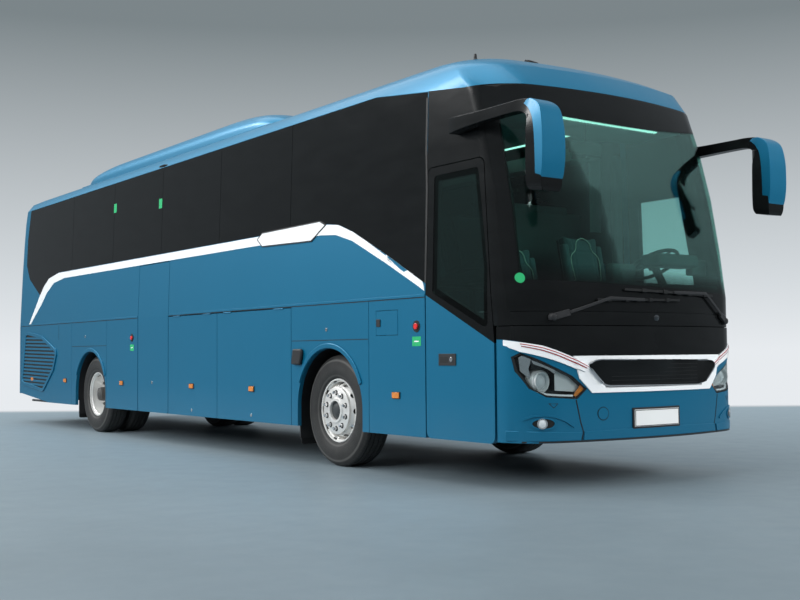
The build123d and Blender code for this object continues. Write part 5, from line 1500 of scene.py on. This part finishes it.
class COACH_OT_roof(bpy.types.Operator):
    """Dresses the roof: the air conditioner's hood, fans and flange, hatches, aerials and the rail camera"""

    bl_idname = "coach.roof"
    bl_label = "Roof"

    def execute(self, context):
        trim = context.scene.coach_trim
        hood = self.hood()
        bpy.context.view_layer.update()
        unit = BVHTree.FromObject(hood, bpy.context.evaluated_depsgraph_get())
        roof = skin("roof", "front_frame")
        grilles, rings, flange, hatches, joints = (bmesh.new() for _ in range(5))
        for row in range(trim.fans):
            x = -3.1 + row * 4.2 / max(1, trim.fans - 1)
            for y in (-0.42, 0.42):
                laid(rings, band(circle(x, y, 0.2, 40), 0.03, closed=True), ROOF_WAY, unit, lift=-0.012, thick=0.015)
                for radius in (0.05, 0.09, 0.13, 0.17):
                    laid(grilles, band(circle(x, y, radius, 32), 0.01, closed=True), ROOF_WAY, unit, lift=-0.004,
                         thick=0.005)
                laid(grilles, band(((x - 0.185, y), (x + 0.185, y)), 0.012), ROOF_WAY, unit, lift=-0.004, thick=0.006)
                laid(grilles, band(((x, y - 0.185), (x, y + 0.185)), 0.012), ROOF_WAY, unit, lift=-0.004, thick=0.006)
        piece("cooler_fan_guards", grilles, "plastic", "black_plastic")
        piece("cooler_fan_rings", rings, "body_paint", "body_paint")
        outline = rounded(((-3.99, -1.0), (1.9, -1.0), (1.9, 1.0), (-3.99, 1.0)), 0.2)
        laid(flange, band(outline, 0.035, closed=True), ROOF_WAY, roof, step=0.3, lift=0.0, thick=0.012)
        piece("cooler_flange", flange, "body_paint", "body_paint", edge=0.004)
        for x in (2.75, -4.85):
            laid(hatches, rounded(rectangle(x - 0.36, x + 0.36, -0.3, 0.3), 0.07), ROOF_WAY, roof, step=0.1, lift=0.0,
                 thick=0.045)
            laid(joints, band(rounded(rectangle(x - 0.39, x + 0.39, -0.33, 0.33), 0.09), 0.02, closed=True), ROOF_WAY,
                 roof, step=0.1, lift=0.0, thick=0.02)
        piece("roof_hatches", hatches, "body_paint", "body_paint", edge=0.014, segments=3)
        piece("roof_hatch_rubbers", joints, "gasket", "black_plastic")
        self.aerials(roof)
        return {"FINISHED"}

    def hood(self):
        """The air conditioner's moulded hood, low and rounded at both ends."""
        def rise(inwards, length):
            return max(0.0, 1 - max(0.0, 1 - inwards / length) ** 2.6) ** 0.625

        rear, front, foot = -3.955, 1.86, 3.512
        bm = bmesh.new()
        bmesh.ops.create_grid(bm, x_segments=72, y_segments=48, size=1.0)
        for v in bm.verts:
            u, w = (math.sin(max(-1.0, min(1.0, c)) * math.pi / 2) for c in v.co.xy)
            x = (rear + front) / 2 + u * (front - rear) / 2
            height = 0.02 + 0.23 * rise(front - x, 1.4) * rise(x - rear, 1.5)
            wide = 0.74 + 0.25 * rise(front - x, 0.6) * rise(x - rear, 0.6)
            v.co = at(x, w * wide, foot + height * max(0.0, 1 - abs(w) ** 7) ** 0.35)
        rim = [e for e in bm.edges if e.is_boundary]
        grown = bmesh.ops.extrude_edge_only(bm, edges=rim)["geom"]
        for g in grown:
            if isinstance(g, bmesh.types.BMVert):
                g.co.z = foot
        bmesh.ops.remove_doubles(bm, verts=bm.verts[:], dist=0.0005)
        bmesh.ops.holes_fill(bm, edges=bm.edges[:], sides=0)
        bmesh.ops.recalc_face_normals(bm, faces=bm.faces[:])
        hood = piece("cooler_hood", bm, "body_paint", "body_paint", sharp=45.0)
        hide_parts("roof_air_conditioner")
        return hood

    def aerials(self, roof):
        """A fin and a short rod over the front end, and the camera on the right cant rail."""
        fin, stub, camera = bmesh.new(), bmesh.new(), bmesh.new()
        base = met(roof, ROOF_WAY, 5.2, -0.45)[0]
        swept(fin, [(base + Vector((-0.09, 0, -0.006)), (0, 0.026, 0), (0, 0, 0.012)),
                    (base + Vector((-0.06, 0, 0.022)), (0, 0.022, 0), (0, 0, 0.03)),
                    (base + Vector((0.0, 0, 0.016)), (0, 0.026, 0), (0, 0, 0.028)),
                    (base + Vector((0.07, 0, -0.002)), (0, 0.02, 0), (0, 0, 0.012))], 4)
        piece("fin_aerial", fin, "black_lacquer", "black_plastic", edge=0.008, segments=3, sharp=60.0)
        turned(stub, [(0.0, 0.055), (0.008, 0.053), (0.012, 0.044), (0.015, 0.01), (0.022, 0.004), (0.026, -0.012),
                      (0.0, -0.012)], met(roof, ROOF_WAY, 5.12, -1.0)[0], ROOF_WAY, 24)
        piece("rod_aerial", stub, "plastic", "black_plastic")
        start, end = at(-0.76, -1.175, 3.36), at(-0.42, -1.185, 3.345)
        swept(camera, [(start, (0, 0.018, 0), (0, 0, 0.008)), (start.lerp(end, 0.3), (0, 0.03, 0), (0, 0, 0.022)),
                       (start.lerp(end, 0.7), (0, 0.032, 0), (0, 0, 0.026)), (end, (0, 0.02, 0), (0, 0, 0.008))], 4)
        piece("rail_camera", camera, "black_lacquer", "black_plastic", edge=0.006, sharp=60.0)


# ---- underside ----

class COACH_OT_underside(bpy.types.Operator):
    """Hangs the mudflaps, lays the sills under the skirts, covers the corner joints and adds a blank sticker"""

    bl_idname = "coach.underside"
    bl_label = "Mudflaps, sills and joints"

    def execute(self, context):
        flaps, sills, joints = bmesh.new(), bmesh.new(), bmesh.new()
        corner = ((4.772, 1.63), (4.772, 2.4), (4.755, 2.75), (4.755, 3.19))
        laid(joints, band(corner, 0.024), (0, RIGHT, 0), side_skin(RIGHT), thick=0.003)
        for x in (2.66, -3.42):
            slab(flaps, rounded(rectangle(-1.2, -0.74, 0.17, 0.62), 0.03), REAR_WAY, x, 0.012)
        for low, high in ((-5.3, -3.5), (-2.2, 2.6), (3.9, 4.7)):
            block(sills, (low, -1.262, 0.352), (high, -1.236, 0.382), 0.006)
        for name, bm, finish, slot in (("mudflaps", flaps, "gasket", "rubber"),
                                       ("sills", sills, "plastic", "black_plastic"),
                                       ("corner_joints", joints, "gasket", "black_plastic")):
            flipped(bm)
            piece(name, bm, finish, slot)
        disc = [(y, 1.615 + (z - 1.615) * 1.7) for y, z in circle(-1.193, 1.615, 0.023)]
        plated("round_sticker", [disc], FRONT_WAY, skin("windscreen"), "label_green", "white_paint", step=0.02,
               thick=0.0006)
        return {"FINISHED"}


# ---- stage ----

HORIZON = (0.8, 0.83, 0.86)   # the pale wall where it meets the floor
ZENITH = (0.2, 0.235, 0.25)
CAMERA_PLACE, CAMERA_ROLL = (12.0215, -6.895, 1.057), math.radians(-0.4327)
CAMERA_WAY = (-0.80724, 0.58835, 0.04692)


class COACH_OT_stage(bpy.types.Operator):
    """Makes the camera, the floor and the studio light"""

    bl_idname = "coach.stage"
    bl_label = "Stage"

    def execute(self, context):
        stage = context.scene.coach_stage
        data = bpy.data.cameras.new("camera")
        camera = bpy.data.objects.new("camera", data)
        context.scene.collection.objects.link(camera)
        ahead = Vector(CAMERA_WAY).normalized()
        across = ahead.cross(Vector((0, 0, 1))).normalized()
        up = across.cross(ahead)
        turn, lean = math.cos(CAMERA_ROLL), math.sin(CAMERA_ROLL)
        across, up = turn * across + lean * up, -lean * across + turn * up
        camera.matrix_world = Matrix.Translation(CAMERA_PLACE) @ Matrix((across, up, -ahead)).transposed().to_4x4()
        data.lens, data.sensor_width, data.clip_end = stage.lens, 36.0, 500.0
        context.scene.camera = camera

        f = Finish("studio_floor")
        near = f.blend(f.noise(1.2, 5.0, 0.6), *(tuple(share * c for c in stage.floor) for share in (0.9, 1.1)))
        reach = (f.x - CAMERA_PLACE[0]) * CAMERA_WAY[0] + (f.y - CAMERA_PLACE[1]) * CAMERA_WAY[1]
        radius = (f.x ** 2.0 + f.y ** 2.0) ** 0.5
        seen = f.node("ShaderNodeLightPath")[0]
        far = f.most(f.ramp(reach, 20.7, 21.6), f.ramp(radius, 14.0, 26.0))   # where the floor turns into the wall
        # painted light: the floor's colour lightens up to 1.9 times with distance from the camera, standing in for
        # the way the far floor looks brighter in the studio's light
        near = f.blend(f.ramp(reach, 6.0, 20.7), near, tuple(1.9 * c for c in stage.floor))
        tone = f.blend(far, near, (0.25, 0.26, 0.27))
        floor = f.gloss(tone, Roughness=f.noise(4.0, 4.0) * 0.16 + 0.42, Specular_IOR_Level=0.35)
        wall = f.node("ShaderNodeEmission", {}, {0: (*HORIZON, 1.0), 1: 1.0})[0]
        FINISHES["studio_floor"] = f.done(f.layered(far * seen, floor, wall))
        bm = bmesh.new()
        bmesh.ops.create_circle(bm, cap_ends=True, segments=96, radius=90.0)
        mesh = bpy.data.meshes.new("studio_floor")
        bm.to_mesh(mesh)
        bm.free()
        floor = bpy.data.objects.new("studio_floor", mesh)
        mesh.materials.append(FINISHES["studio_floor"])
        context.scene.collection.objects.link(floor)

        def lamp(name, place, size, energy, aim=(0, 0, 1.5), mirrored=True):
            light = bpy.data.lights.new(name, "AREA")
            light.shape, light.size, light.size_y, light.energy = "RECTANGLE", size[0], size[1], energy
            made = bpy.data.objects.new(name, light)
            made.location = place
            made.visible_glossy = mirrored
            made.rotation_mode = "QUATERNION"
            made.rotation_quaternion = (Vector(aim) - Vector(place)).to_track_quat("-Z", "Y")
            context.scene.collection.objects.link(made)

        lamp("overhead", (0.0, -3.0, 10.0), (16.0, 8.0), 800.0)
        lamp("rear_key", (-13.0, -13.0, 12.0), (12.0, 3.0), 2000.0, aim=(0, -1.3, 1.8))
        lamp("side_key", (3.0, -15.0, 6.5), (12.0, 5.0), 2000.0, mirrored=False)
        lamp("front_fill", (17.0, 4.0, 6.0), (7.0, 5.0), 1200.0, mirrored=False)
        lamp("front_key", (14.0, 13.0, 9.0), (8.0, 2.5), 1300.0, aim=(5.5, 0, 1.2), mirrored=False)
        lamp("far_fill", (-4.0, 14.0, 8.0), (10.0, 5.0), 500.0, mirrored=False)

        f = Finish("studio", bpy.data.worlds.new("studio"))
        height = f.node("ShaderNodeSeparateXYZ", {}, {0: f.node("ShaderNodeTexCoord")[0]})[2]
        shown, lit = (f.node("ShaderNodeValToRGB", {"stops": stops}, {0: height})[0] for stops in (
            ((0.0, HORIZON), (0.06, (0.66, 0.7, 0.73)), (0.28, ZENITH)),
            ((0.0, (0.15, 0.17, 0.19)), (0.15, (0.22, 0.25, 0.27)), (0.6, (0.5, 0.55, 0.59)))))
        rays = {ray.socket.name: ray for ray in f.node("ShaderNodeLightPath")}
        seen = f.most(rays["Is Camera Ray"], rays["Is Transmission Ray"]) + rays["Is Glossy Ray"] * 0.12
        sky = f.node("ShaderNodeBackground", {}, {0: f.blend(seen, lit, shown)})[0]
        f.node("ShaderNodeOutputWorld", {}, {0: sky})
        context.scene.world = f.owner
        context.scene.view_settings.view_transform = "Standard"
        return {"FINISHED"}


OPERATORS = (COACH_OT_stage, COACH_OT_frame_finishes, COACH_OT_side_trim, COACH_OT_headlamps, COACH_OT_nose,
             COACH_OT_mirrors, COACH_OT_wipers, COACH_OT_wheels, COACH_OT_seats, COACH_OT_cab, COACH_OT_rear,
             COACH_OT_roof, COACH_OT_underside)


class COACH_PT_panel(bpy.types.Panel):
    """Lists the steps that build the coach"""

    bl_idname = "COACH_PT_panel"
    bl_label = "Touring Coach"
    bl_space_type = "VIEW_3D"
    bl_region_type = "UI"
    bl_category = "Coach"

    def draw(self, context):
        for group in (getattr(context.scene, name) for name in SETTINGS):
            box = self.layout.box()
            for key in group.__annotations__:
                box.prop(group, key)
        for operator in OPERATORS:
            self.layout.operator(operator.bl_idname)


SETTINGS = {"coach_paint": CoachPaint, "coach_trim": CoachTrim, "coach_wheels": CoachWheels,
            "coach_seats": CoachSeats, "coach_stage": CoachStage}
CLASSES = (*SETTINGS.values(), *OPERATORS, COACH_PT_panel)


def register():
    for cls in CLASSES:
        bpy.utils.register_class(cls)
    for name, group in SETTINGS.items():
        setattr(bpy.types.Scene, name, PointerProperty(type=group))


def unregister():
    for name in SETTINGS:
        delattr(bpy.types.Scene, name)
    for cls in reversed(CLASSES):
        bpy.utils.unregister_class(cls)


def main():
    register()
    for operator in OPERATORS:
        group, name = operator.bl_idname.split(".")
        getattr(getattr(bpy.ops, group), name)()
    bpy.context.view_layer.update()


if __name__ == "__main__":
    main()
